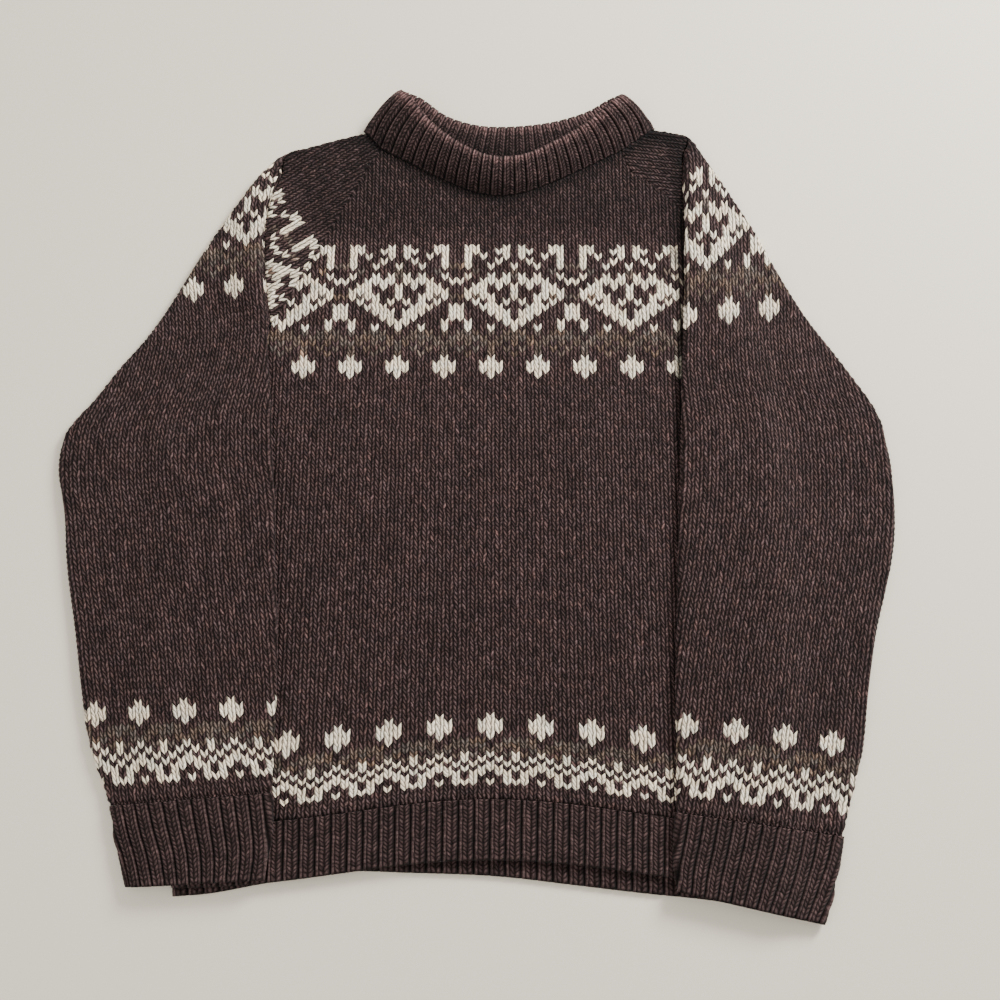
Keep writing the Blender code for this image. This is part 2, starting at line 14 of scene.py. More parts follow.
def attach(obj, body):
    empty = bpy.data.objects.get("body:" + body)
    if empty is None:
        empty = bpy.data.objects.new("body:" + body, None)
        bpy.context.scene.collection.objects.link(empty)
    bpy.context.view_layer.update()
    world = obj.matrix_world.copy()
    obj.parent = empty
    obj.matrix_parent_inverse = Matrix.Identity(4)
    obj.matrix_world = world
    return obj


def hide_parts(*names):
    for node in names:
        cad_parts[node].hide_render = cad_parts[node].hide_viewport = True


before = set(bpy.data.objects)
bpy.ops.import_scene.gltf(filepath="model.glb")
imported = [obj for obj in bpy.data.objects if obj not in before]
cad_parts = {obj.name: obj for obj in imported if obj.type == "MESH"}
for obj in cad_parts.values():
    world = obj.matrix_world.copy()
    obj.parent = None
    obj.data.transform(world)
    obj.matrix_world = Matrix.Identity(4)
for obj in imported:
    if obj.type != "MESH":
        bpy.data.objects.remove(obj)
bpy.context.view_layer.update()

MILLIMETRE = 0.001

# Cloth and its layers
CLOTH = 3.0
LAYER = CLOTH + 0.3
BACK_LEVEL = CLOTH / 2
FRONT_LEVEL = BACK_LEVEL + LAYER
SLEEVE_LEVEL = FRONT_LEVEL + LAYER
LOFT = 1.6
ORIGIN_X = -23.0
ORIGIN_Y = 22.6

# Ribs of the knitted edgings
HEM_RIBS = 37
NECK_RIBS = 54
CUFF_RIBS = 24

# Body: how far each side edge lies out, and the raglan seams from the neck to the underarm
SIDES = {
    "left": {"y": (-345, -275, -150, 40), "x": (-277, -281, -288, -286)},
    "right": {"y": (-354, -285, -150, 40), "x": (219, 223, 232, 233)},
}
RAGLANS = {
    "left": ((-118, 357), (-202, 199), (-286, 40)),
    "right": ((120, 354), (129, 332), (150, 316), (179, 286), (207, 215), (224, 130), (233, 40)),
}
YOKE_SHARES = (0.0, 0.05, 0.10, 0.16, 0.22, 0.25, 0.33, 0.40, 0.50, 0.57, 0.67, 0.75, 0.88, 1.0)

# Sleeve sections: the fold that lies on the front, the shoulder line, share of the pleat's height
YOKE_SLEEVES = {
    "left": (
        # inner x, inner y, outer x, outer y, rise
        (-128, 366, -134, 375, 0.0),
        (-148, 357, -160, 368, 0.0),
        (-170, 344, -187, 360, 0.0),
        (-198, 335, -214, 351, 0.1),
        (-217, 325, -236, 329, 0.5),
        (-222, 313, -246, 315, 0.75),
        (-230, 277, -270, 275, 1.0),
        (-229, 240, -292, 236, 1.0),
        (-225, 203, -316, 189, 1.0),
        (-221, 178, -333, 160, 1.0),
        (-219, 148, -360, 124, 1.0),
        (-216, 122, -378, 97, 1.0),
        (-212, 85, -402, 65, 1.0),
        (-209, 42, -407, 34, 1.0),
    ),
    "right": (
        (141, 369, 153, 378, 0.0),
        (160, 366, 172, 375, 0.0),
        (174, 361, 188, 370, 0.1),
        (182, 348, 201, 350, 0.4),
        (181, 327, 216, 324, 0.8),
        (181, 304, 230, 299, 1.0),
        (178, 262, 250, 262, 1.0),
        (177, 240, 262, 236, 1.0),
        (176, 206, 279, 201, 1.0),
        (174, 180, 293, 176, 1.0),
        (172, 148, 315, 143, 1.0),
        (170, 122, 332, 117, 1.0),
        (168, 82, 353, 80, 1.0),
        (166, 40, 360, 38, 1.0),
    ),
}
SHOWN_SECTIONS = {"left": 10, "right": 6}
CAP_TOPS = {"left": 3, "right": 2}      # last section whose cap runs over to the outline
CAP_TAIL = 7.0            # length by which the cap runs on under the sleeve
SEAM_LEAN = 0.7           # how far the gap at a raglan seam goes up for each unit outwards
SCENE_GAP = 0.12          # gap left between neighbouring pieces of cloth
ARM_SECTIONS = {
    "left": (
        # inner x, inner y, outer x, outer y
        (-204, -12, -398, -15),
        (-201, -63, -390, -66),
        (-197, -115, -379, -118),
        (-195, -165, -369, -170),
        (-195, -214, -356, -222),
        (-195, -260, -334, -271),
    ),
    "right": (
        (162, -12, 361, -12),
        (159, -65, 353, -63),
        (156, -118, 337, -115),
        (153, -170, 326, -166),
        (152, -222, 314, -228),
        (150, -276, 292, -296),
    ),
}
CUFF_SECTIONS = {
    "left": (
        (-195, -260, -334, -271),
        (-194, -283, -329, -292),
        (-195, -307, -322, -314),
        (-200, -331, -315, -337),
    ),
    "right": (
        (150, -276, 292, -296),
        (148, -298, 287, -319),
        (147, -319, 280, -343),
        (149, -340, 271, -367),
    ),
}

# Neckband
NECK_SEAM_LOW = 304.5
NECK_SEAM_ROUND = 25.0
NECK_SEAM_POWER = 1.1
BACK_NECK_LOW = 339.0
NECK_EDGE_FRONT = (
    (-99, 411, 19), (-92, 403, 25), (-68, 374, 24), (-37, 350, 23), (-7, 337, 23),
    (20, 338, 23), (53, 353, 23), (86, 374, 24), (113, 398, 25), (122, 407, 19),
)
NECK_EDGE_BACK = (
    (122, 407, 19), (110, 406, 12), (92, 396, 9), (65, 386, 8), (22, 379, 7),
    (3, 378, 7), (-18, 379, 7), (-53, 389, 8), (-84, 409, 12), (-99, 411, 19),
)
NECK_INNER = 1.0
NECK_BULGE = 3.2
NECK_SIDE_BULGE = 3.5     # how far the band's two ends round outwards
NECK_SCALLOP = 0.045      # share of its height by which each rib stands out past the furrows
NECK_SEAM_GAP = 0.004
NECK_CORNERS = {"left": (-134, 375), "right": (153, 378)}

# Hem
HEM_MIDDLE_X = -8.0
RIB_SEAM_MIDDLE = -265.5
RIB_SEAM_DROP = 20.0
RIB_SEAM_REACH = 230.0
FRONT_HEM_MIDDLE = -315.5
FRONT_HEM_DROP = 22.0
FRONT_HEM_REACH = 260.0
BACK_HEM = (
    (-277, -345), (-249, -343), (-202, -335), (-133, -325), (-76, -326), (0, -329), (64, -336),
    (127, -343), (169, -347), (219, -354),
)
BACK_RIB_HEIGHT = 57.0

# Soft swells and dents: middle x, y, half width, half height, raise
FRONT_SWELLS = (
    (-20, 230, 90, 60, 1.8),
    (-90, 60, 50, 90, 1.4),
    (60, 40, 45, 110, 1.6),
    (-30, -120, 60, 70, 1.7),
    (95, -170, 35, 70, 1.2),
    (-125, -190, 35, 60, 1.3),
)
SLEEVE_SWELLS = {
    "left": (
        (-300, 120, 60, 45, 1.5),
        (-290, 10, 55, 40, 1.3),
        (-320, -90, 45, 50, 1.5),
        (-260, -190, 50, 40, 1.2),
    ),
    "right": (
        (255, 130, 55, 50, 1.5),
        (250, 0, 60, 45, 1.4),
        (290, -100, 40, 50, 1.4),
        (225, -180, 50, 45, 1.3),
    ),
}

# Folds of a sleeve
PLEAT = {"place": (-2.0, 0.8, 1.5, 2.2, 5.0), "rise": (0.0, 0.12, 0.45, 0.82, 1.0)}
NARROW_FOLD = 30.0
SIDE_SLOPE = 38.0
SIDE_CLEARANCE = 4.0
SLEEVE_CROWN = 0.5
SEAM_START = 14.0
SEAM_CLIMBED = 6.0
SEAM_LAP = 3.0
TURN_CELLS = 10
SLEEVE_CELLS = {"under": 10, "over": 24, "floor": 10}

# Gauge of the knit
STITCH = 7.37             # width of a stitch on the body
ROW = 4.6                 # usual height of a row
FIRST_WALE_X = -12.2      # left edge of wale 0, the middle wale of a dot
LEG_RISE = 0.8            # rows by which the legs of a stitch rise from its middle to its sides
LEG_SLANT = 0.8           # rows by which the finish of a left leg slants more than its shape
LEG_HEIGHT = 1.0          # height of a leg over the hollows beside it
LEG_END = 0.35            # share of a leg's height that is left where two rows meet
LEG_SINK = 0.45           # share of a leg's height by which the hollows lie under the cloth's face
FRONT_ROWS = (
    # row, y of its upper edge
    (-40, 407.5), (1, 246.0), (26, 115.0), (100, -195.0), (104, -216.0), (117, -265.5), (120, -277.0),
)
LAST_ROW = 117
BEND_TOP = 60.0           # height below which the rows start to follow the hem's curve
SLEEVE_GAUGE = {
    # section of the upper and of the lower dots, stitch widths from top to cuff, height of the rows
    # above the upper dots, then at both dots how far out the wales are shifted, and the rows' tilt
    "left": {"dots": 7.8, "low_dots": 17.52, "widths": (6.85, 7.43, 6.75), "top_row": 6.15,
             "shift": (-2.5, -11.0), "tilt": (3.6, 1.8)},
    "right": {"dots": 8.9, "low_dots": 17.81, "widths": (7.0, 7.43, 7.18), "top_row": 6.4,
              "shift": (-3.5, -18.3), "tilt": (7.7, -7.0)},
}
MOST_SLANT = 0.35         # most length by which a row moves along the sleeve for each unit across
UPRIGHT_ROWS = (26, 48)   # rows between which the wales turn from upright to the sleeve's own slope
DOT_MIDDLE_ROW = 24
LOW_DOT_MIDDLE_ROW = 102
RIDGE_HEIGHT = 1.3        # purl ridge where the plain knit meets a rib
RIDGE_ROWS = 1.6          # rows that the purl ridge takes up
BODY_WALES = (-40, 36)    # wales from which the body is cut
BODY_TOP_ROW = -30
OUTLINE_CUTS = 900        # points along each line of the body's outline
FINE_WALES = {"left": (-23, 27), "right": (-27, 23)}   # wales of a sleeve that are built stitch by stitch
SLEEVE_WALES = 45         # wales to each side from which a sleeve is cut
SPARE_ROWS = 12           # rows past each end from which a sleeve is cut
ARM_MIDDLE_ROW = 63
SLANT_REACH = 100.0       # how far out from the middle line the rows go on slanting
SLANT_FADE = 14.0         # rows over which the slant comes in and dies out
CAP_STEP = 0.5            # sections over which the upper layer starts further in once the cap has ended
TURNING = 0.97            # upward share of a direction below which the cloth counts as turning
CAP_WALES = {"left": (-36, 2), "right": (2, 36)}
CAP_ROWS = (-30, 45)
CAP_INSET = 3.15          # how far inside the sleeve's outline a cap ends where it runs over to it
CAP_PAST = 0.02           # share of the raglan seam by which a cap's seam runs on
CAP_CUTS = {"seam": 300, "edge": 400, "end": 40}   # points along the lines of a cap's outline
CAP_SKIP = 6              # every sixth of those points is used to tell which cells lie inside
CORNER_PASSES = 4
HEM_CUTS = 60
FACING = {"none": -0.5, "span": 0.6}     # upward share of a direction at which a side starts to show

# Yarn symbols of the charts: . dark, o cream, b brown
YARNS = ".ob"
DIAMONDS = (
    ".oo...o.o...oo.",
    ".oo..oo.oo..oo.",
    ".o.o..o.o..o.o.",
    ".o...o...o...o.",
    "bo..o..o..o..ob",
    "..b....b....b..",
    ".o..o.obo.o..o.",
    "o..oooo.oooo..o",
    "..oo.o.o.o.oo..",
    ".ooo...o...ooo.",
    "boboo..o..oobob",
    "..o.o.o.o.o.o..",
    "o..ooo...ooo..o",
    "o...ooo.ooo...o",
    "o....oo.oo....o",
    ".o....ooo....o.",
    ".o..o..o..o..o.",
)
DOTS = (
    "b.b.bb",
    "bb.bbb",
    ".bbb.b",
    "b.b.b.",
    "..b..b",
    "..o...",
    ".ooo..",
    ".ooo..",
    "..o...",
)
BORDER = (
    "..o...",
    ".ooo..",
    ".ooo..",
    "..o...",
    "bb..bb",
    "bb.bbb",
    ".bbb.b",
    "b.o.bo",
    ".o.o.o",
    "o.o.o.",
    ".ooo.o",
    "oo.oo.",
    "o...o.",
    "o.o.oo",
)
CHART_ROWS = {"diamonds": 0, "dots": 17, "border": 100}
WALES = {
    # wale in the middle of a diamond, of a dot below the diamonds, and of a dot by the rib
    "front": {"diamonds": 3, "dots": 0, "border": 0},
    "left": {"diamonds": 4, "dots": -4, "border": 1},
    "right": {"diamonds": -5, "dots": 4, "border": 1},
}

YARN_COLOURS = (
    (0.077, 0.040, 0.037),
    (0.945, 0.815, 0.630),
    (0.190, 0.130, 0.098),
)
HEATHER = 0.30            # spread of the brightness from leg to leg
SPREAD_SIZE = 400         # stitches after which the heather repeats
WARM_LIMIT = 1.5
HEATHER_SHARES = (1.0, 0.3, 1.0)     # how much of that spread the dark, cream and brown yarn have
WARM_SHARES = (0.04, 0.03, 0.08)     # how far each yarn turns warmer or cooler from stitch to stitch
PAINTED_YOKE_SHADE = {"rows": (1.0, -7.0), "light": 0.62}   # painted shade on the plain yoke over the diamonds: rows over which it comes in, share of light kept

# Dips beside the right pleat, which widen upwards, and under the neckband: share of light they take
PLEAT_SHADE = {"takes": 0.62, "width": 9.0, "widens": 17.0, "from": 190.0, "over": 70.0, "bottom": 40.0}
NECK_SHADE = {"takes": 0.6, "width": 16.0, "bottom": 250.0}

# Light of a rib's yarn, as shares of the dark yarn's: the furrow's share is painted shade, the join's is
# painted light on the purl ridge of the first row
RIB_LIGHT = {"spread": 0.8, "furrow": 0.6, "rib": 0.92, "join": 1.25}
FURROW = (0.95, 0.08)     # places across a rib between which its furrow lies
FIRST_LEG = 0.24          # place across a rib where its herringbone starts
# Painted light of the neckband: painted shade by its seam, painted highlight along its fold
NECK_PAINTED_LIGHT = {
    # share by the seam, gain over the first rows, gain along the fold and the rows before it
    "seam": 0.65, "gain": 0.40, "rows": 7.0, "fold": 2.1, "fold_row": 9.5, "fold_rows": 2.0,
}
# Painted shade inside the neckband at the back, deepest low down by its seam
NECK_INSIDE_SHADE = {"takes": 0.2, "takes_low": 0.4, "ribs": 3.0, "row": 9.0, "rows": 6.0}

noise = np.random.default_rng(7)


def smooth_curve(points, shares):
    """Points at shares of a curve's length: cubic pieces whose slopes pass through the points."""
    points = np.asarray(points, dtype=float)
    steps = np.linalg.norm(np.diff(points, axis=0), axis=1)
    places = np.concatenate(([0.0], np.cumsum(steps)))
    return smooth_rows(points, places, np.clip(shares, 0.0, 1.0) * places[-1])


def smooth_rows(points, places, wanted):
    """Rows of points at wanted places between given rows, by cubic pieces with matching slopes."""
    slopes = np.gradient(points, places, axis=0)
    piece = np.clip(np.searchsorted(places, wanted, side="right") - 1, 0, len(places) - 2)
    shape = (-1,) + (1,) * (points.ndim - 1)
    span = (places[piece + 1] - places[piece]).reshape(shape)
    t = (wanted - places[piece]).reshape(shape) / span
    start = (2 * t**3 - 3 * t**2 + 1) * points[piece] + (t**3 - 2 * t**2 + t) * span * slopes[piece]
    end = (3 * t**2 - 2 * t**3) * points[piece + 1] + (t**3 - t**2) * span * slopes[piece + 1]
    return start + end


def smooth_step(value):
    """Rise from 0 to 1 with level ends: 3 v squared minus 2 v cubed."""
    value = np.clip(value, 0.0, 1.0)
    return value * value * (3.0 - 2.0 * value)


def swell(x, y, table):
    """Sum of the rounded mounds of a table, each its height times e to the minus squared reach."""
    total = np.zeros(np.broadcast(x, y).shape)
    for middle_x, middle_y, half_width, half_height, height in table:
        reach = ((x - middle_x) / half_width) ** 2 + ((y - middle_y) / half_height) ** 2
        total = total + height * np.exp(-reach)
    return total


def hem_drop(x, middle, drop, reach):
    """Height of an edge that sags by a half wave from its middle to its sides."""
    turn = np.clip(np.abs(x - HEM_MIDDLE_X) / reach, 0.0, 1.0) * np.pi
    return middle - drop * (1.0 - np.cos(turn)) / 2.0


def side_edge(side, y):
    """How far out the body's side edge lies at a height y."""
    return np.interp(y, SIDES[side]["y"], SIDES[side]["x"])


def neck_share(x):
    """How far out the raglan end beside x lies, and how high."""
    half = np.where(x < 0, -RAGLANS["left"][0][0], RAGLANS["right"][0][0])
    top = np.where(x < 0, RAGLANS["left"][0][1], RAGLANS["right"][0][1])
    return half, top


def front_neckline(x):
    """Height of the front's neck edge: a scoop whose rounded bottom rises to the raglan seams."""
    half, top = neck_share(x)
    reach = np.hypot(x, NECK_SEAM_ROUND) - NECK_SEAM_ROUND
    share = reach / (np.hypot(half, NECK_SEAM_ROUND) - NECK_SEAM_ROUND)
    return NECK_SEAM_LOW + (top - NECK_SEAM_LOW) * share**NECK_SEAM_POWER


def back_neckline(x):
    """Height of the back's neck edge: a parabola from its lowest point to the raglan seams."""
    half, top = neck_share(x)
    return BACK_NECK_LOW + (top - BACK_NECK_LOW) * (np.abs(x) / half) ** 2


def front_seam(x):
    """Height of the seam between the front and its rib."""
    return hem_drop(x, RIB_SEAM_MIDDLE, RIB_SEAM_DROP, RIB_SEAM_REACH)


def front_lower_edge(x):
    """Height of the front rib's lower edge."""
    return hem_drop(x, FRONT_HEM_MIDDLE, FRONT_HEM_DROP, FRONT_HEM_REACH)


def back_lower_edge(x):
    """Height of the back rib's lower edge, which shows below the front's."""
    fine = smooth_curve(BACK_HEM, np.linspace(0.0, 1.0, HEM_CUTS))
    return np.interp(x, fine[:, 0], fine[:, 1])


def back_seam(x):
    """Height of the seam between the back and its rib."""
    return back_lower_edge(x) + BACK_RIB_HEIGHT


def directions(grid, axis, closed=False):
    """Unit vectors along one way of a grid of points."""
    if closed:
        step = np.roll(grid, -1, axis=axis) - np.roll(grid, 1, axis=axis)
    else:
        step = np.gradient(grid, axis=axis)
    return step / np.linalg.norm(step, axis=2, keepdims=True)


def sheet_normals(middle, hint, closed=False, along=None):
    """Normals of a sheet: the cross product of its two ways, turned to agree with one hint."""
    across = directions(middle, 1, closed)
    if along is None:
        along = directions(middle, 0)
    normal = np.cross(across, along)
    normal = normal / np.linalg.norm(normal, axis=2, keepdims=True)
    row, column, wanted = hint
    return -normal if np.dot(normal[row, column], wanted) < 0 else normal


def sleeve_top(distance, width, drop_start, fold_top, outer_top):
    """Height of a sleeve's upper layer: level by its inner fold, then sloping to its outer edge."""
    drop = smooth_step((distance - drop_start) / SIDE_SLOPE)
    crown = 1.0 - (2.0 * distance / width - 1.0) ** 4
    return fold_top + (outer_top - fold_top) * drop + SLEEVE_CROWN * crown


def sleeve_section(side, fold, outer, rise, shown, front_edge, back_edge):
    """One section of a folded sleeve, from its front edge over its upper layer to its back edge.

    Where the front edge shows, the cloth steps up a pleat at the fold. Elsewhere it lies under the
    upper layer and turns round the fold by a half circle, as it does at the outer edge.
    """
    cells = SLEEVE_CELLS
    fold = np.array(fold, dtype=float)
    outer = np.array(outer, dtype=float)
    width = np.linalg.norm(outer - fold)
    outward = (outer - fold) / width
    fold_top = SLEEVE_LEVEL + LAYER + LOFT
    outer_top = BACK_LEVEL + LAYER + LOFT
    low = SLEEVE_LEVEL
    turn = np.linspace(0.0, np.pi, TURN_CELLS + 1)
    if shown:
        low = FRONT_LEVEL
        fold_top = FRONT_LEVEL + rise * (fold_top - FRONT_LEVEL)
        outer_top = FRONT_LEVEL + rise * (outer_top - FRONT_LEVEL)
        step = smooth_curve(np.column_stack((PLEAT["place"], PLEAT["rise"])), turn / np.pi)
        place = step[:, 0] * min(1.0, width / NARROW_FOLD)
        height = low + step[:, 1] * (fold_top - low)
        drop_start = place[-1]
    else:
        radius = (fold_top - low) / 2
        place = CLOTH / 2 + radius * (1.0 - np.sin(turn))
        height = low + radius * (1.0 - np.cos(turn))
        drop_start = abs(front_edge[-1][0] - fold[0]) + SIDE_CLEARANCE
    pleat = np.column_stack((fold + place[:, None] * outward, height))
    outer_radius = (outer_top - BACK_LEVEL) / 2
    reach = width - CLOTH / 2 - outer_radius * (1.0 - np.sin(turn))
    outer_height = BACK_LEVEL + outer_radius * (1.0 + np.cos(turn))
    outer_turn = np.column_stack((fold + reach[:, None] * outward, outer_height))
    part = np.linspace(0.0, 1.0, cells["over"] + 1)[1:-1]
    distance = place[-1] + part * (reach[0] - place[-1])
    plan = fold + distance[:, None] * outward
    top = sleeve_top(distance, width, drop_start, fold_top, outer_top)
    top = top + rise * np.sin(np.pi * part) * swell(plan[:, 0], plan[:, 1], SLEEVE_SWELLS[side])
    over = np.column_stack((plan, top))
    under = under_layer(front_edge, pleat[0], cells["under"])
    floor = np.linspace(outer_turn[-1], np.append(back_edge, BACK_LEVEL), cells["floor"] + 1)[1:]
    return np.concatenate((under, pleat, over, outer_turn, floor))


def under_layer(front_edge, end, cells):
    """Points from the front edge to the fold, through a second point where the cloth has climbed."""
    if len(front_edge) == 1:
        return np.linspace(front_edge[0], end, cells + 1)[:-1]
    climbed = np.linspace(front_edge[1], end, cells)[:-1]
    return np.concatenate(([front_edge[0]], climbed))


def arm_edges(side, fold, outer):
    """Front and back edges of a closed sleeve section, which meet beside the body's side edge."""
    edge = side_edge(side, fold[1])
    sign = np.sign(outer[0] - fold[0])
    slope = (outer[1] - fold[1]) / (outer[0] - fold[0])
    start_x, climbed_x, back_x = edge + sign * np.array((SEAM_START, SEAM_CLIMBED, SEAM_LAP))
    start = np.array((start_x, fold[1] + slope * (start_x - fold[0]), FRONT_LEVEL))
    climbed = np.array((climbed_x, fold[1] + slope * (climbed_x - fold[0]), SLEEVE_LEVEL))
    back = np.array((back_x, fold[1] + slope * (back_x - fold[0])))
    return (start, climbed), back


def sleeve_walls(middle):
    """Outward directions all over a sleeve, square to the line of each section."""
    pleat_end = SLEEVE_CELLS["under"] + TURN_CELLS
    turn_row = middle[:, pleat_end, :2] - middle[:, pleat_end + SLEEVE_CELLS["over"], :2]
    along = np.column_stack((-turn_row[:, 1], turn_row[:, 0], np.zeros(len(turn_row))))
    along = along / np.linalg.norm(along, axis=1, keepdims=True)
    along = np.broadcast_to(along[:, None, :], middle.shape)
    over = pleat_end + SLEEVE_CELLS["over"] // 2
    return sheet_normals(middle, (len(middle) // 2, over, (0.0, 0.0, 1.0)), along=along)


def sleeve_sections(side):
    """Middle of a sleeve's cloth at each section of its tables, from the neck to the cuff."""
    outward = -1.0 if side == "left" else 1.0
    raglan = smooth_curve(RAGLANS[side], YOKE_SHARES)
    rows = []
    for index, (fold_x, fold_y, outer_x, outer_y, rise) in enumerate(YOKE_SLEEVES[side]):
        shown = index < SHOWN_SECTIONS[side]
        edge = raglan[index] + SCENE_GAP * np.array((outward, SEAM_LEAN))
        front_edge = (np.append(edge, FRONT_LEVEL if shown else SLEEVE_LEVEL),)
        if index == len(YOKE_SHARES) - 1:
            front_edge, edge = arm_edges(side, (fold_x, fold_y), (outer_x, outer_y))
        rows.append(sleeve_section(side, (fold_x, fold_y), (outer_x, outer_y), rise, shown,
                                   front_edge, edge))
    for fold_x, fold_y, outer_x, outer_y in ARM_SECTIONS[side]:
        front_edge, edge = arm_edges(side, (fold_x, fold_y), (outer_x, outer_y))
        rows.append(sleeve_section(side, (fold_x, fold_y), (outer_x, outer_y), 1.0, False,
                                   front_edge, edge))
    return np.array(rows)


def cuff_sections(side):
    """Middle of a cuff's cloth at each section of its table."""
    rows = []
    for index, (fold_x, fold_y, outer_x, outer_y) in enumerate(CUFF_SECTIONS[side]):
        shift = SCENE_GAP if index == 0 else 0.0
        fold = (fold_x, fold_y - shift)
        outer = (outer_x, outer_y - shift)
        front_edge, edge = arm_edges(side, fold, outer)
        rows.append(sleeve_section(side, fold, outer, 0.0, False, front_edge, edge))
    return np.array(rows)


ARC_STEP = 1.25           # spacing of the table of a folded sheet, across
ARC_REACH = 300.0         # how far that table reaches to each side of the upper layer's middle


def folded_table(sections, wanted):
    """A folded sheet as a table of points and outward directions, by row and by length across.

    The sections are carried on smoothly between those given. Each is then cut into equal steps of its
    own length, counted from the middle of its upper layer.
    """
    middle_column = SLEEVE_CELLS["under"] + TURN_CELLS + SLEEVE_CELLS["over"] // 2
    spine = sections[:, middle_column]
    steps = np.linalg.norm(np.diff(spine, axis=0), axis=1)
    places = np.concatenate(([0.0], np.cumsum(steps)))
    dense = smooth_rows(sections, places, wanted(places))
    normal = sleeve_walls(dense)
    lengths = np.linalg.norm(np.diff(dense, axis=1), axis=2)
    arcs = np.concatenate((np.zeros((len(dense), 1)), np.cumsum(lengths, axis=1)), axis=1)
    arcs = arcs - arcs[:, middle_column:middle_column + 1]
    grid = np.arange(-ARC_REACH, ARC_REACH + ARC_STEP, ARC_STEP)
    both = np.concatenate((dense, normal), axis=2)
    table = np.array([[np.interp(grid, arc, line[:, part]) for part in range(6)]
                      for arc, line in zip(arcs, both)])
    section = np.interp(wanted(places), places, np.arange(len(places)))
    return np.moveaxis(table, 1, 2), arcs, section


def sample(table, row, column):
    """Values of a table between its rows and columns, by the nearness of its four neighbours."""
    row = np.clip(row, 0, table.shape[0] - 1.001)
    column = np.clip(column, 0, table.shape[1] - 1.001)
    top = row.astype(int)
    left = column.astype(int)
    down = (row - top)[..., None]
    right = (column - left)[..., None]
    upper = table[top, left] * (1 - right) + table[top, left + 1] * right
    lower = table[top + 1, left] * (1 - right) + table[top + 1, left + 1] * right
    return upper * (1 - down) + lower * down


def leg_relief(wale, row):
    """Height of the legs of plain stitches: a round ridge over each half stitch, lower at row ends.

    It is the leg's height times the size of a sine across times a half sine along the row that starts
    from the leg's end, less the part by which the hollows lie lower.
    """
    across = np.abs(np.sin(2.0 * np.pi * wale))
    along = LEG_END + (1.0 - LEG_END) * np.sin(np.pi * (row % 1.0))
    return LEG_HEIGHT * (across * along - LEG_SINK)


def purl_ridge(row):
    """Height of the purl ridge beside a rib: a half sine over the last rows of the plain knit."""
    into = np.clip(row - (LAST_ROW - RIDGE_ROWS), 0.0, RIDGE_ROWS)
    return RIDGE_HEIGHT * np.sin(np.pi * into / RIDGE_ROWS)


def rise_of_legs(wale):
    """Rows by which a point of a stitch rises: none in its middle, most at its sides."""
    return LEG_RISE * np.abs(2.0 * (wale % 1.0) - 1.0)


def yarn_codes(piece, wale, row):
    """Yarn of each stitch by number, read from the charts: 0 dark, 1 cream, 2 brown."""
    codes = np.zeros(wale.shape, dtype=int)
    for name, chart in (("diamonds", DIAMONDS), ("dots", DOTS), ("border", BORDER)):
        lines = np.array([[YARNS.index(symbol) for symbol in line] for line in chart])
        repeat = lines.shape[1]
        line = row - CHART_ROWS[name]
        column = (wale - WALES[piece][name] + (repeat - 1) // 2) % repeat
        inside = (line >= 0) & (line < len(chart))
        codes = np.where(inside, lines[np.clip(line, 0, len(chart) - 1), column], codes)
    return codes


def yarn_colours(piece, wale, row):
    """Colour of the stitch round each face: its yarn's, lighter or darker from stitch to stitch, with
    painted shade on the plain yoke.
    """
    whole_wale = np.floor(wale).astype(int)
    whole_row = np.floor(row).astype(int)
    leg = np.floor(2.0 * wale).astype(int)
    codes = yarn_codes(piece, whole_wale, whole_row)
    spread = noise.normal(size=(SPREAD_SIZE, SPREAD_SIZE))
    tint = np.clip(noise.normal(size=(SPREAD_SIZE, SPREAD_SIZE)), -WARM_LIMIT, WARM_LIMIT)
    amount = np.choose(codes, HEATHER_SHARES)
    light = np.exp(HEATHER * amount * spread[whole_row % SPREAD_SIZE, leg % SPREAD_SIZE])
    warm = tint[whole_row % SPREAD_SIZE, whole_wale % SPREAD_SIZE]
    # painted shade on the plain yoke, coming in over the rows above the diamonds
    start, end = PAINTED_YOKE_SHADE["rows"]
    light = light * (1.0 - (1.0 - PAINTED_YOKE_SHADE["light"]) * smooth_step((row - start) / (end - start)))
    colour = np.array(YARN_COLOURS)[codes] * light[..., None]
    amount = np.choose(codes, WARM_SHARES)
    return colour * (1.0 + amount[..., None] * warm[..., None] * np.array((1.0, 0.0, -1.0)))


def mesh_object(name, points, corners, starts, stitches, colours, material):
    """An object from arrays: points, the corners of its faces, their stitch places and colours."""
    mesh = bpy.data.meshes.new(name)
    mesh.vertices.add(len(points))
    shifted = (points - (ORIGIN_X, ORIGIN_Y, 0.0)) * MILLIMETRE
    mesh.vertices.foreach_set("co", shifted.ravel())
    mesh.loops.add(len(corners))
    mesh.loops.foreach_set("vertex_index", corners)
    mesh.polygons.add(len(starts))
    mesh.polygons.foreach_set("loop_start", starts)
    mesh.update(calc_edges=True)
    layer = mesh.uv_layers.new(name="stitches")
    layer.uv.foreach_set("vector", stitches.ravel())
    yarn = mesh.attributes.new("yarn", "FLOAT_COLOR", "CORNER")
    yarn.data.foreach_set("color", np.column_stack((colours, np.ones(len(colours)))).ravel())
    mesh.materials.append(material)
    mesh.shade_smooth()
    piece = bpy.data.objects.new(name, mesh)
    bpy.context.scene.collection.objects.link(piece)
    return piece


def lattice_faces(shape, keep, closed):
    """Corners of the kept cells of a grid of points, four to a cell, in turn round each."""
    rows, columns = shape
    number = np.arange(rows * columns).reshape(rows, columns)
    right = np.roll(number, -1, axis=1)
    if not closed:
        number, right = number[:, :-1], right[:, :-1]
    cells = np.stack((number[:-1], right[:-1], right[1:], number[1:]), axis=2)
    return cells[keep]


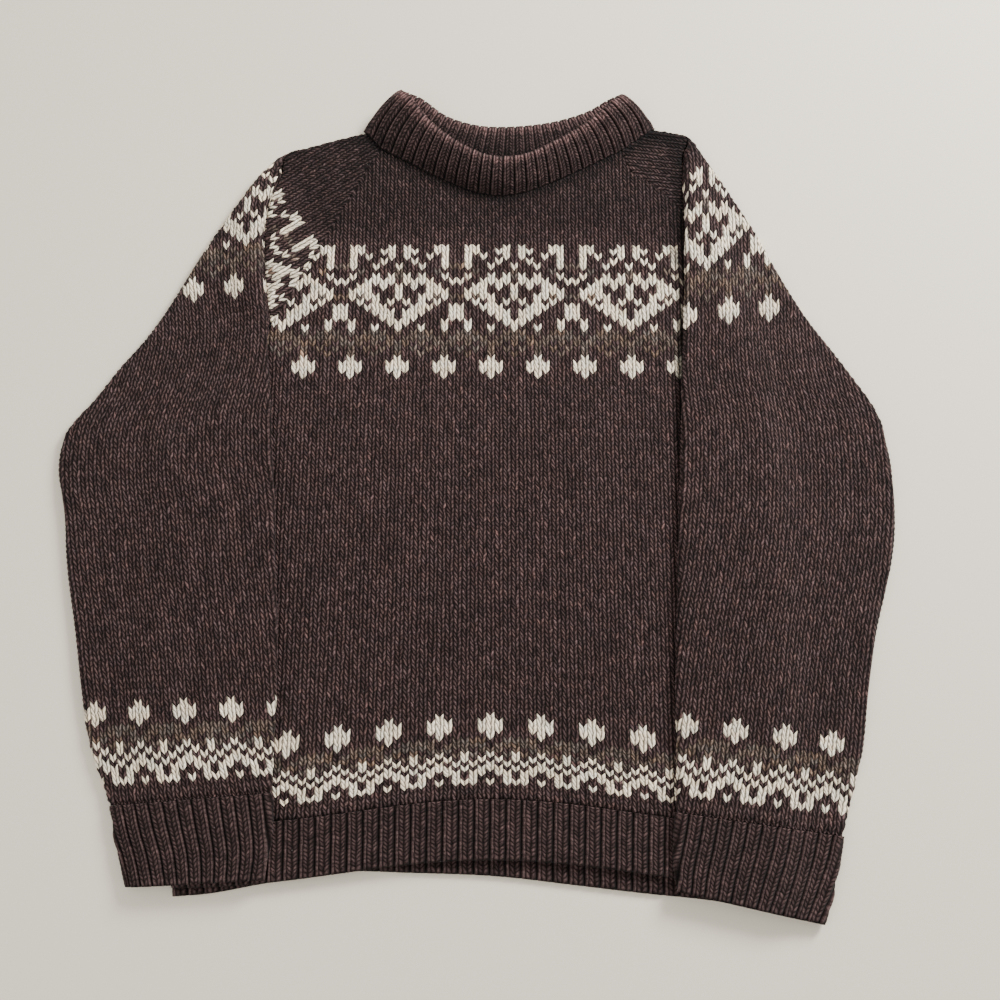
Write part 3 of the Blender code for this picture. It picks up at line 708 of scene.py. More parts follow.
def open_edges(cells):
    """Edges that only one of the cells has, in the direction in which that cell goes round."""
    edges = np.stack((cells, np.roll(cells, -1, axis=1)), axis=2).reshape(-1, 2)
    size = cells.max() + 1
    forward = edges[:, 0] * size + edges[:, 1]
    backward = edges[:, 1] * size + edges[:, 0]
    return edges[~np.isin(forward, backward)]


def signed_volume(points, triangles):
    """Volume inside a closed set of triangles, negative where they face inwards."""
    corner = points[triangles]
    return np.einsum("ij,ij->i", corner[:, 0], np.cross(corner[:, 1], corner[:, 2])).sum() / 6.0


INNER_STEP = {"rows": 8, "columns": 12}   # spacing of the plain inner side's points on the fine grid
INNER_MARGIN = 3          # cells between a piece's edge and the first of those points
SAME_POINT = 1e-6


def eroded(keep, times):
    """Cells whose neighbours are kept too, a number of cells deep."""
    for _ in range(times):
        padded = np.pad(keep, 1)
        keep = (padded[1:-1, 1:-1] & padded[:-2, 1:-1] & padded[2:, 1:-1]
                & padded[1:-1, :-2] & padded[1:-1, 2:])
    return keep


def knit_piece(name, piece, outer, inner, stitches, keep, material, dense_columns=None):
    """A closed wall of knit: a fine outer side, a plain inner side and a rim between them.

    The outer side has every kept cell of the grid. The inner side joins the edge's points with a few
    of those between, as triangles laid over the sheet of unworked stitches.
    """
    count = outer.shape[0] * outer.shape[1]
    cells = lattice_faces(outer.shape[:2], keep, False)
    edges = open_edges(cells)
    border = np.zeros(count, dtype=bool)
    border[edges.ravel()] = True
    deep = eroded(keep, INNER_MARGIN)
    inside = np.zeros(outer.shape[:2], dtype=bool)
    inside[:-1, :-1] = deep
    coarse = np.zeros(outer.shape[:2], dtype=bool)
    coarse[::INNER_STEP["rows"], ::INNER_STEP["columns"]] = True
    if dense_columns is not None:
        coarse[::INNER_STEP["rows"]] |= dense_columns[::INNER_STEP["rows"]]
    chosen = np.flatnonzero(border | (inside & coarse).ravel())
    place = np.full(count, -1)
    place[chosen] = np.arange(len(chosen))
    flat = stitches.reshape(-1, 2)[chosen] * (STITCH, -ROW)
    flat_points = [Vector(point) for point in flat]
    laid = delaunay_2d_cdt(flat_points, place[edges].tolist(), [], 1, SAME_POINT, True)
    source = np.array([first[0] for first in laid[3]])
    triangles = source[np.array(laid[2])]
    middle = stitches.reshape(-1, 2)[chosen][triangles].mean(axis=1)
    column = np.searchsorted(stitches[0, :, 0], middle[:, 0]) - 1
    line = np.searchsorted(stitches[:, 0, 1], middle[:, 1]) - 1
    triangles = triangles[keep[line, column]]
    used = np.zeros(count, dtype=bool)
    used[cells.ravel()] = True
    outer_number = np.cumsum(used) - 1
    points = np.concatenate((outer.reshape(-1, 3)[used], inner.reshape(-1, 3)[chosen]))
    places = np.concatenate((stitches.reshape(-1, 2)[used], stitches.reshape(-1, 2)[chosen]))
    first_inner = int(used.sum())
    fine = outer_number[cells]
    plain = triangles + first_inner
    start, end = edges[:, 0], edges[:, 1]
    rim = np.column_stack((outer_number[end], outer_number[start],
                           first_inner + place[start], first_inner + place[end]))
    return finish_wall(name, piece, points, places, fine, rim, plain, material)


def finish_wall(name, piece, points, places, fine, rim, plain, material):
    """Turns the sides of a wall to face outwards and makes its object."""
    fine_halves = np.concatenate((fine[:, (0, 1, 2)], fine[:, (0, 2, 3)]))
    rim_halves = np.concatenate((rim[:, (0, 1, 2)], rim[:, (0, 2, 3)]))
    flat_turn = np.cross(places[plain[:, 1]] - places[plain[:, 0]],
                         places[plain[:, 2]] - places[plain[:, 0]]).sum()
    fine_turn = np.cross(places[fine[:, 1]] - places[fine[:, 0]],
                         places[fine[:, 2]] - places[fine[:, 0]]).sum()
    if flat_turn * fine_turn > 0:
        plain = plain[:, ::-1]
    if signed_volume(points, np.concatenate((fine_halves, rim_halves, plain))) < 0:
        fine, rim, plain = fine[:, ::-1], rim[:, ::-1], plain[:, ::-1]
    quads = np.concatenate((fine, rim))
    corners = np.concatenate((quads.ravel(), plain.ravel()))
    starts = np.concatenate((np.arange(len(quads)) * 4, len(quads) * 4 + np.arange(len(plain)) * 3))
    colours = []
    for faces in (quads, plain):
        colour = piece_colours(piece, places[faces].mean(axis=1)) * shade(piece, points[faces].mean(axis=1))
        colours.append(np.repeat(colour, faces.shape[1], axis=0))
    return mesh_object(name, points, corners, starts, places[corners], np.concatenate(colours), material)


def shade(piece, points):
    """Share of its light that the yarn keeps at points of the front, the caps and the back.

    It dips by the right pleat and under the neckband: a smooth step down over the dip's width, which
    is lowest at the pleat's line or the neckline.
    """
    if piece != "front":
        return np.ones((len(points), 1))
    x, y = points[:, 0], points[:, 1]
    table = np.array(YOKE_SLEEVES["right"])[::-1]
    dip = PLEAT_SHADE
    width = dip["width"] + dip["widens"] * smooth_step((y - dip["from"]) / dip["over"])
    pleat = smooth_step(1.0 - (np.interp(y, table[:, 1], table[:, 0]) - x) / width)
    neck = smooth_step(1.0 - (front_neckline(x) - y) / NECK_SHADE["width"]) * (y > NECK_SHADE["bottom"])
    light = (1.0 - dip["takes"] * pleat * (y > dip["bottom"])) * (1.0 - NECK_SHADE["takes"] * neck)
    return light[:, None]


def piece_colours(piece, place):
    """Colours of faces from the middle of their stitch places: charted knit, or a plain dark rib."""
    if piece in WALES:
        return yarn_colours(piece, place[:, 0], place[:, 1])
    return rib_colours(piece, place[:, 0], place[:, 1])


def rib_colours(piece, rib, row):
    """Colour of the stitches of a rib: dark yarn, lighter or darker, with painted shade deep in the furrows
    and painted light on the purl ridge of the first row.

    The neckband is much paler along its fold, as in the photo: painted light where the fold rounds over,
    with painted shade by its seam and inside at the back.
    """
    spread = noise.normal(size=(SPREAD_SIZE, SPREAD_SIZE))
    part = rib % 1.0
    leg = 3 * np.floor(rib).astype(int) + (part > FIRST_LEG) + (part > RIB_MIDDLE)
    spread = spread[np.floor(row).astype(int) % SPREAD_SIZE, leg % SPREAD_SIZE]
    light = np.exp(RIB_LIGHT["spread"] * HEATHER * spread)
    furrow = ((part < FURROW[1]) | (part > FURROW[0])) & (row > 1.0)
    # painted shade in the furrows, and painted light on the purl ridge of the first row
    light = light * np.where(furrow, RIB_LIGHT["furrow"], RIB_LIGHT["rib"])
    light = light * np.where(row < 1.0, RIB_LIGHT["join"], 1.0)
    if piece == "neck":
        # painted shade by the neckband's seam and painted highlight along its fold
        fold = smooth_step((row - NECK_PAINTED_LIGHT["fold_row"]) / NECK_PAINTED_LIGHT["fold_rows"])
        low = smooth_step(row / NECK_PAINTED_LIGHT["rows"])
        light = light * (NECK_PAINTED_LIGHT["seam"] + NECK_PAINTED_LIGHT["gain"] * low + NECK_PAINTED_LIGHT["fold"] * fold)
        # painted shade inside the band at the back
        ribs = NECK_INSIDE_SHADE["ribs"]
        inside = smooth_step((rib - NECK_RIBS / 2) / ribs) * smooth_step((NECK_RIBS - rib) / ribs)
        deep = smooth_step((NECK_INSIDE_SHADE["row"] - row) / NECK_INSIDE_SHADE["rows"])
        light = light * (1.0 - inside * (NECK_INSIDE_SHADE["takes"] + NECK_INSIDE_SHADE["takes_low"] * deep))
    return np.array(YARN_COLOURS[0]) * light[:, None]


def grid_wall(name, piece, outer, inner, stitches, material, closed=False):
    """A closed wall of knit whose two sides have the same grid of points."""
    rows, columns = outer.shape[:2]
    count = rows * columns
    keep = np.ones((rows - 1, columns if closed else columns - 1), dtype=bool)
    cells = lattice_faces((rows, columns), keep, closed)
    edges = open_edges(cells)
    rim = np.column_stack((edges[:, 1], edges[:, 0], edges[:, 0] + count, edges[:, 1] + count))
    points = np.concatenate((outer.reshape(-1, 3), inner.reshape(-1, 3)))
    places = np.tile(stitches.reshape(-1, 2), (2, 1))
    lower = cells[:, ::-1] + count
    plain = np.concatenate((lower[:, (0, 1, 2)], lower[:, (0, 2, 3)]))
    return finish_wall(name, piece, points, places, cells, rim, plain, material)


def centres(grid):
    """Middles of the cells of a grid of values."""
    return (grid[:-1, :-1] + grid[1:, :-1] + grid[:-1, 1:] + grid[1:, 1:]) / 4


def snap_edge(keep, line, x, y):
    """Moves the points round the kept cells to the nearest points of a finely cut line."""
    border = np.unique(open_edges(lattice_faces(x.shape, keep, False)))
    gap_x = x.ravel()[border][:, None] - line[None, :, 0]
    gap_y = y.ravel()[border][:, None] - line[None, :, 1]
    nearest = line[(gap_x**2 + gap_y**2).argmin(axis=1)]
    x.ravel()[border] = nearest[:, 0]
    y.ravel()[border] = nearest[:, 1]


def body_edge(neckline, seam, reach):
    """The outline of a body panel as a finely cut line, and whether points lie inside it."""
    shares = np.linspace(0.0, 1.0, reach)
    left = smooth_curve(RAGLANS["left"], shares)
    right = smooth_curve(RAGLANS["right"], shares)
    left_y = np.linspace(RAGLANS["left"][-1][1], seam(SIDES["left"]["x"][0]), reach)
    right_y = np.linspace(RAGLANS["right"][-1][1], seam(SIDES["right"]["x"][0]), reach)
    neck_x = np.linspace(RAGLANS["left"][0][0], RAGLANS["right"][0][0], reach)
    seam_x = np.linspace(side_edge("left", left_y[-1]), side_edge("right", right_y[-1]), reach)
    line = np.concatenate((
        left, np.column_stack((side_edge("left", left_y), left_y)),
        right, np.column_stack((side_edge("right", right_y), right_y)),
        np.column_stack((neck_x, neckline(neck_x))), np.column_stack((seam_x, seam(seam_x)))))

    def inside(x, y):
        left_x = np.where(y < left[-1, 1], side_edge("left", y),
                          np.interp(y, left[::-1, 1], left[::-1, 0]))
        right_x = np.where(y < right[-1, 1], side_edge("right", y),
                           np.interp(y, right[::-1, 1], right[::-1, 0]))
        return (x > left_x) & (x < right_x) & (y < neckline(x)) & (y > seam(x))

    return line, inside


def front_place(wale, row):
    """Place of a stitch's points on the front before the rows bend to the hem."""
    lift = row - rise_of_legs(wale)
    y = np.interp(lift, [entry[0] for entry in FRONT_ROWS], [entry[1] for entry in FRONT_ROWS])
    return FIRST_WALE_X + STITCH * wale, y


def body_panel(name, level, neckline, seam, table, per_stitch, per_row, face, material):
    """A flat body panel of plain knit, cut to its raglan seams, neckline and rib seam.

    A point of wale w and row r lies at x = first wale + stitch times w, and at the height of row
    r less the rise of its stitch's legs. Rows bend with the rib seam as they come near it. face is 1
    where the knit side is up and -1 where it is down.
    """
    wales = np.arange(BODY_WALES[0] * per_stitch, BODY_WALES[1] * per_stitch + 1) / per_stitch
    rows = np.arange(BODY_TOP_ROW * per_row, (LAST_ROW + 2) * per_row + 1) / per_row
    wale, row = np.meshgrid(wales, rows)
    x, y = front_place(wale, row)
    bend = smooth_step((BEND_TOP - y) / (BEND_TOP - RIB_SEAM_MIDDLE))
    y = y + bend * (seam(x) - RIB_SEAM_MIDDLE)
    line, inside = body_edge(neckline, seam, OUTLINE_CUTS)
    keep = inside((x[:-1, :-1] + x[1:, 1:]) / 2, centres(y))
    snap_edge(keep, line, x, y)
    middle = level + swell(x, y, table)
    relief = leg_relief(wale, row) + purl_ridge(row) if face > 0 else np.zeros_like(x)
    outer = np.dstack((x, y, middle + face * (CLOTH / 2) + relief))
    inner = np.dstack((x, y, middle - face * (CLOTH / 2)))
    return knit_piece(name, "front", outer, inner, np.dstack((wale, row)), keep, material)


def laid_rows(side, table, rows):
    """How a sleeve's stitches lie on its table, row by row: shift of the wales and slant of the rows.

    The shift undoes the sideways drift of the middle line in the upper rows, so that the wales there
    stay upright. The slant is the length along the middle line by which a row moves for each unit
    across, from the row's tilt and the directions of the section and the middle line.
    """
    gauge = SLEEVE_GAUGE[side]
    zero = int(ARC_REACH / ARC_STEP)
    middle = table[:, zero, :2]
    across = table[:, zero + 2, :2] - table[:, zero - 2, :2]
    across = across / np.linalg.norm(across, axis=1, keepdims=True)
    step = np.gradient(middle, axis=0)
    length = np.linalg.norm(step, axis=1)
    along = step / length[:, None]
    upright = 1.0 - smooth_step((rows - UPRIGHT_ROWS[0]) / (UPRIGHT_ROWS[1] - UPRIGHT_ROWS[0]))
    drift = -np.cumsum(np.sum(step * across, axis=1) * upright)
    drift = drift - np.interp(DOT_MIDDLE_ROW, rows, drift)
    known = (DOT_MIDDLE_ROW, LOW_DOT_MIDDLE_ROW)
    shift = drift + np.interp(rows, known, gauge["shift"])
    tilt = np.tan(np.radians(np.interp(rows, known, gauge["tilt"])))
    slant = -(across[:, 1] - tilt * across[:, 0]) / (along[:, 1] - tilt * along[:, 0])
    slant = np.clip(slant, -MOST_SLANT, MOST_SLANT)
    ends = smooth_step((rows - rows[0]) / SLANT_FADE) * smooth_step((LAST_ROW - rows) / SLANT_FADE)
    return shift, slant * ends / length


def laid_on(table, index, arc):
    """Middle of the cloth, outward direction and how far that side shows, on a folded table.

    A side shows in full where it faces up, and ever less to nothing as it turns down.
    """
    both = sample(table, index, (arc + ARC_REACH) / ARC_STEP)
    normal = both[..., 3:] / np.linalg.norm(both[..., 3:], axis=2, keepdims=True)
    return both[..., :3], normal, smooth_step((normal[..., 2:] - FACING["none"]) / FACING["span"])


def folded_sides(middle, normal, raised):
    """Outer and inner side of folded cloth, the outer one never below the floor."""
    outer = middle + normal * raised
    outer[..., 2] = np.maximum(outer[..., 2], 0.0)
    return outer, middle - normal * CLOTH / 2


def sleeve(side, material):
    """A folded raglan sleeve of plain knit, fine where it shows and plainer underneath.

    A point of wale w and row r lies on the section of that row, at (w - 1/2) stitch widths from the
    middle of its upper layer, plus the shift and slant of the row. Where the sleeve's cap shows, this
    part starts at the pleat, and the cap is a piece of its own.
    """
    sections = sleeve_sections(side)
    gauge = SLEEVE_GAUGE[side]
    state = {}

    def row_places(places):
        dots = np.interp(gauge["dots"], np.arange(len(places)), places)
        low = np.interp(gauge["low_dots"], np.arange(len(places)), places)
        state["top"] = DOT_MIDDLE_ROW - dots / gauge["top_row"]
        rows = np.arange(state["top"], LAST_ROW + 0.5, 0.5)
        known_rows = (state["top"], DOT_MIDDLE_ROW + 2, LOW_DOT_MIDDLE_ROW, LAST_ROW)
        known_places = (0.0, dots + 2 * gauge["top_row"], low, places[-1])
        return np.interp(rows, known_rows, known_places)

    table, arcs, section = folded_table(sections, row_places)
    top = state["top"]
    steps = np.arange(len(table))
    shift, slant = laid_rows(side, table, top + steps / 2)
    shown = SHOWN_SECTIONS[side] - 1
    pleat = arcs[:, SLEEVE_CELLS["under"]]
    outline = arcs[:, SLEEVE_CELLS["under"] + TURN_CELLS + SLEEVE_CELLS["over"]]
    high = CAP_TOPS[side]
    start = outline + (pleat - outline) * np.clip(section - high, 0.0, 1.0)
    start = start + (arcs[:, 0] - start) * smooth_step((section - shown) / CAP_STEP)
    limits = (start, arcs[:, -1])

    sign = -1.0 if side == "left" else 1.0
    first, last = FINE_WALES[side]
    wales = np.concatenate((np.arange(-SLEEVE_WALES, first, 2), np.arange(4 * first, 4 * last + 1) / 4,
                            np.arange(last + 2, SLEEVE_WALES + 1, 2)))
    rows = np.arange((np.floor(top) - SPARE_ROWS) * 2, (LAST_ROW + SPARE_ROWS) * 2 + 1) / 2
    wale, row = np.meshgrid(wales, rows)
    lift = row - rise_of_legs(wale)
    width = np.interp(lift, (DOT_MIDDLE_ROW, ARM_MIDDLE_ROW, LOW_DOT_MIDDLE_ROW), gauge["widths"])
    place = (lift - top) * 2
    arc = sign * (wale - 0.5) * width + np.interp(place, steps, shift)
    index = place + np.interp(place, steps, slant) * np.clip(arc, -SLANT_REACH, SLANT_REACH)

    def edges(index):
        return [np.interp(index, steps, limit) for limit in limits]

    low_arc, high_arc = edges(centres(index))
    keep = (centres(arc) > low_arc) & (centres(arc) < high_arc)
    keep &= (centres(index) > 0) & (centres(index) < steps[-1])
    border = np.unique(open_edges(lattice_faces(arc.shape, keep, False)))
    edge_index = index.ravel()[border]
    edge_arc = arc.ravel()[border]
    low_arc, high_arc = edges(edge_index)
    spacing = np.gradient(wales)[border % len(wales)] * STITCH
    distance = np.stack((np.abs(edge_arc - low_arc) / spacing, np.abs(edge_arc - high_arc) / spacing,
                         np.abs(edge_index), np.abs(edge_index - steps[-1])))
    nearest = distance.argmin(axis=0)
    index.ravel()[border] = np.where(nearest == 2, 0.0, np.where(nearest == 3, steps[-1], edge_index))
    arc.ravel()[border] = np.where(nearest == 0, low_arc, np.where(nearest == 1, high_arc, edge_arc))
    middle, normal, shows = laid_on(table, index, arc)
    relief = leg_relief(wale, row) + purl_ridge(row)
    outer, inner = folded_sides(middle, normal, CLOTH / 2 + shows * relief[..., None])
    stitches = np.dstack((wale, row))
    turning = np.abs(normal[..., 2]) < TURNING
    dense = turning & (np.arange(len(wales)) % 2 == 0)[None, :]
    return knit_piece(side + "_sleeve_knit", side, outer, inner, stitches, keep, material,
                      dense_columns=dense)


def cap_outline(side):
    """The outline of a sleeve's cap that lies on the front: seam, pleat and outline, finely cut."""
    outward = -1.0 if side == "left" else 1.0
    shown = SHOWN_SECTIONS[side]
    seam = smooth_curve(RAGLANS[side], np.linspace(0.0, YOKE_SHARES[shown - 1] + CAP_PAST, CAP_CUTS["seam"]))
    seam = seam + SCENE_GAP * np.array((outward, SEAM_LEAN))
    edge = []
    for index, (fold_x, fold_y, outer_x, outer_y, _) in enumerate(YOKE_SLEEVES[side][:shown]):
        fold = np.array((fold_x, fold_y), dtype=float)
        outer = np.array((outer_x, outer_y), dtype=float)
        way = (outer - fold) / np.linalg.norm(outer - fold)
        over = index <= CAP_TOPS[side]
        edge.append(outer - CAP_INSET * way if over else fold + PLEAT["place"][0] * way)
    edge.append(edge[-1] + CAP_TAIL * (edge[-1] - edge[-2]) / np.linalg.norm(edge[-1] - edge[-2]))
    edge = smooth_curve(edge, np.linspace(0.0, 1.0, CAP_CUTS["edge"]))
    close = np.linspace(seam[-1], edge[-1], CAP_CUTS["end"])
    neck = np.linspace(edge[0], seam[0], CAP_CUTS["end"])
    return np.concatenate((seam, close, edge[::-1], neck))


def inside_line(line, x, y):
    """Whether points lie inside a closed line: an odd number of its pieces lies to their right."""
    inside = np.zeros(x.shape, dtype=bool)
    for (start_x, start_y), (end_x, end_y) in zip(line, np.roll(line, -1, axis=0)):
        if start_y == end_y:
            continue
        crosses = (start_y > y) != (end_y > y)
        meets = start_x + (y - start_y) * (end_x - start_x) / (end_y - start_y)
        inside ^= crosses & (x < meets)
    return inside


def without_corners(keep):
    """The cells that stay once those that meet another only at a corner are taken away."""
    keep = keep.copy()
    for _ in range(CORNER_PASSES):
        falling = keep[:-1, :-1] & keep[1:, 1:] & ~keep[:-1, 1:] & ~keep[1:, :-1]
        rising = keep[:-1, 1:] & keep[1:, :-1] & ~keep[:-1, :-1] & ~keep[1:, 1:]
        keep[:-1, :-1] &= ~falling
        keep[:-1, 1:] &= ~rising
    return keep


def cap(side, material):
    """The cap of a sleeve, which lies on the front between its raglan seam and the pleat.

    Its stitches are the front's, mirrored in the line of the raglan seam, so that rows meet there.
    """
    line = cap_outline(side)
    start, end = smooth_curve(RAGLANS[side], np.array((0.0, YOKE_SHARES[SHOWN_SECTIONS[side] - 1])))
    way = (end - start) / np.linalg.norm(end - start)
    wales = np.arange(CAP_WALES[side][0] * 4, CAP_WALES[side][1] * 4 + 1) / 4
    rows = np.arange(CAP_ROWS[0] * 2, CAP_ROWS[1] * 2) / 2
    wale, row = np.meshgrid(wales, rows)
    x, y = front_place(wale, row)
    along = (x - start[0]) * way[0] + (y - start[1]) * way[1]
    x, y = 2 * (start[0] + along * way[0]) - x, 2 * (start[1] + along * way[1]) - y
    keep = without_corners(inside_line(line[::CAP_SKIP], (x[:-1, :-1] + x[1:, 1:]) / 2, centres(y)))
    snap_edge(keep, line, x, y)
    middle = np.full(x.shape, FRONT_LEVEL)
    outer = np.dstack((x, y, middle + CLOTH / 2 + leg_relief(wale, row)))
    inner = np.dstack((x, y, middle - CLOTH / 2))
    return knit_piece(side + "_cap_knit", "front", outer, inner, np.dstack((wale, row)), keep, material)


RIB_COLUMNS = (0.0, 0.08, 0.15, 0.22, 0.34, 0.47, 0.59, 0.71, 0.84, 0.94)
RIB_LINE = 0.15           # place across a rib of its fine upright line
RIB_MIDDLE = 0.59         # place across a rib of the middle of its herringbone
RIB_LEG = 0.35            # share of a rib that each leg of the herringbone takes up
RIB_HEIGHT = 2.0          # height of a rib over its furrows
RIB_EDGE = 0.12           # share of a rib over which it rises from its furrow
RIB_LINE_REACH = 0.08     # how far the upright line reaches to each side
RIB_LINE_HEIGHT = 0.8
RIB_LEG_HEIGHT = 0.6
RIB_LEG_END = 0.4         # share of a leg's height that is left where two rows meet
PURL_HEIGHT = (1.1, 0.2)  # height of the first row's bumps and their wave, by the rib's height
PURL_FADE = 1.5           # rows over which the bumps give way to the ribs
HEM_ROWS = 15
CUFF_ROWS = 18
NECK_ROWS = 12
HEM_CURL = 2.6            # how high the front hem's lower edge curls up
HEM_CURL_START = 0.3      # share of a hem's height at which its curl starts
HEM_ROUND = {"height": 1.2, "share": 0.06}
HEM_SINK = 0.9            # how far the furrows of a hem lie under the cloth's face
CUFF_SINK = 0.4           # the same on a cuff
NECK_SINK = 0.3           # and on the neckband
CUFF_STEPS = 40
NECK_SCALLOP_SHARE = 0.25
NECK_FACING = 0.35        # share of the band's height over which it turns from its seam's direction
NECK_FOLD = {"share": 0.1, "thinner": 0.55, "rib": 0.2}
NECK_END_POWER = 5
SLANTING = 0.7            # share of a slanting move that goes each way


def rib_shape(ribs, rows_high):
    """Columns and rows of a rib's grid, with its raise over the furrows and its rise of legs.

    The raise is a smooth step up from each furrow to the rib, plus a fine upright ridge on one side
    and the two legs of a herringbone beside it. The first row is a ridge of purl bumps.
    """
    phase = np.concatenate([number + np.array(RIB_COLUMNS) for number in range(ribs)] + [[ribs]])
    rows = np.arange(rows_high * 2 + 1) / 2
    column, row = np.meshgrid(phase, rows)
    part = column % 1.0
    body = smooth_step((0.5 - np.abs(part - 0.5)) / RIB_EDGE)
    line = np.maximum(1.0 - np.abs(part - RIB_LINE) / RIB_LINE_REACH, 0.0)
    reach = np.clip(np.abs(part - RIB_MIDDLE) / RIB_LEG, 0.0, 1.0)
    along = RIB_LEG_END + (1.0 - RIB_LEG_END) * np.sin(np.pi * (row % 1.0))
    raised = RIB_HEIGHT * body + RIB_LINE_HEIGHT * line + RIB_LEG_HEIGHT * np.sin(np.pi * reach) * along
    ridge = np.clip(1.0 - row / PURL_FADE, 0.0, 1.0)
    bumps = PURL_HEIGHT[0] + PURL_HEIGHT[1] * np.sin(4 * np.pi * part)
    raised = raised * (1.0 - ridge) + ridge * bumps * RIB_HEIGHT
    ends = np.minimum(np.minimum(row, rows_high - row), 1.0)
    lift = row - LEG_RISE * reach * ends
    return column / ribs, lift / rows_high, raised, np.dstack((column, row))


def hem_rib(name, level, seam, lower_edge, curl, material):
    """A ribbed hem: points between its seam and its lower edge, raised by the ribs and its curl."""
    share, part, raised, stitches = rib_shape(HEM_RIBS, HEM_ROWS)
    left = side_edge("left", seam(SIDES["left"]["x"][0]))
    right = side_edge("right", seam(SIDES["right"]["x"][0]))
    seam_x = left + share * (right - left)
    edge_x = SIDES["left"]["x"][0] + share * (SIDES["right"]["x"][0] - SIDES["left"]["x"][0])
    x = seam_x + part * (edge_x - seam_x)
    seam_y = seam(seam_x) - SCENE_GAP
    y = seam_y + part * (lower_edge(edge_x) - seam_y)
    lifted = level + curl * smooth_step((part - HEM_CURL_START) / (1.0 - HEM_CURL_START))
    rounded = HEM_ROUND["height"] * smooth_step((part - (1.0 - HEM_ROUND["share"])) / HEM_ROUND["share"])
    outer = np.dstack((x, y, lifted + CLOTH / 2 - HEM_SINK - rounded + raised))
    inner = np.dstack((x, y, lifted - CLOTH / 2))
    return grid_wall(name, "rib", outer, inner, stitches, material)


def cuff(side, material):
    """A ribbed cuff: a folded sheet like its sleeve, with ribs all round and a plain inside."""
    sections = cuff_sections(side)
    table, arcs, _ = folded_table(sections, lambda places: np.linspace(0.0, places[-1], CUFF_STEPS))
    first, last = arcs[:, 0], arcs[:, -1]
    share, part, raised, stitches = rib_shape(CUFF_RIBS, CUFF_ROWS)
    index = part * (CUFF_STEPS - 1)
    steps = np.arange(CUFF_STEPS)
    low_arc = np.interp(index, steps, first)
    high_arc = np.interp(index, steps, last)
    arc = low_arc + share * (high_arc - low_arc)
    middle, normal, shows = laid_on(table, index, arc)
    outer, inner = folded_sides(middle, normal, CLOTH / 2 - CUFF_SINK + shows * raised[..., None])
    return grid_wall(side + "_cuff_rib", "rib", outer, inner, stitches, material)


def corner_points(side, neck_end, level):
    """Points from a corner of the neck opening straight to the end of the raglan seam."""
    corner = np.array(NECK_CORNERS[side], dtype=float)
    end = np.array(neck_end, dtype=float)
    points = [(*corner, FRONT_LEVEL - LAYER / 2)]
    for part in (0.2, 0.6):
        points.append((*(corner + part * (end - corner)), level))
    return points


def neck_rings():
    """The neckband's seam and its folded edge, each as two smooth curves by share of the way round."""
    left_end = RAGLANS["left"][0]
    right_end = RAGLANS["right"][0]
    inner_x = np.linspace(left_end[0], right_end[0], 15)
    front = corner_points("left", left_end, FRONT_LEVEL)
    front += [(x, float(front_neckline(x)), FRONT_LEVEL) for x in inner_x]
    front += corner_points("right", right_end, FRONT_LEVEL)[::-1]
    back = corner_points("right", right_end, BACK_LEVEL)
    back += [(x, float(back_neckline(x)), BACK_LEVEL) for x in inner_x[::-1]]
    back += corner_points("left", left_end, BACK_LEVEL)[::-1]
    return (front, back), (NECK_EDGE_FRONT, NECK_EDGE_BACK)


def ring(halves, shares):
    """Points of a ring of two curves at shares of the way round: half of them on each curve."""
    first = smooth_curve(halves[0], np.clip(shares * 2.0, 0.0, 1.0))
    second = smooth_curve(halves[1], np.clip(shares * 2.0 - 1.0, 0.0, 1.0))
    return np.where((shares < 0.5)[:, None], first, second)


def seam_normals(seam, edge):
    """Outward directions round the neck seam: up on the front, down on the back, sideways between."""
    upward = np.clip((seam[:, 2] - FRONT_LEVEL + LAYER / 2) / (LAYER / 2), -1.0, 1.0)
    outward = seam[:, :2] - seam[:, :2].mean(axis=0)
    rise = (edge - seam)[:, :2]
    rise = rise / np.linalg.norm(rise, axis=1, keepdims=True)
    outward = outward - np.sum(outward * rise, axis=1, keepdims=True) * rise
    outward = outward / np.linalg.norm(outward, axis=1, keepdims=True)
    level = np.sqrt(1.0 - upward**2)[:, None]
    return np.column_stack((outward * level, upward))


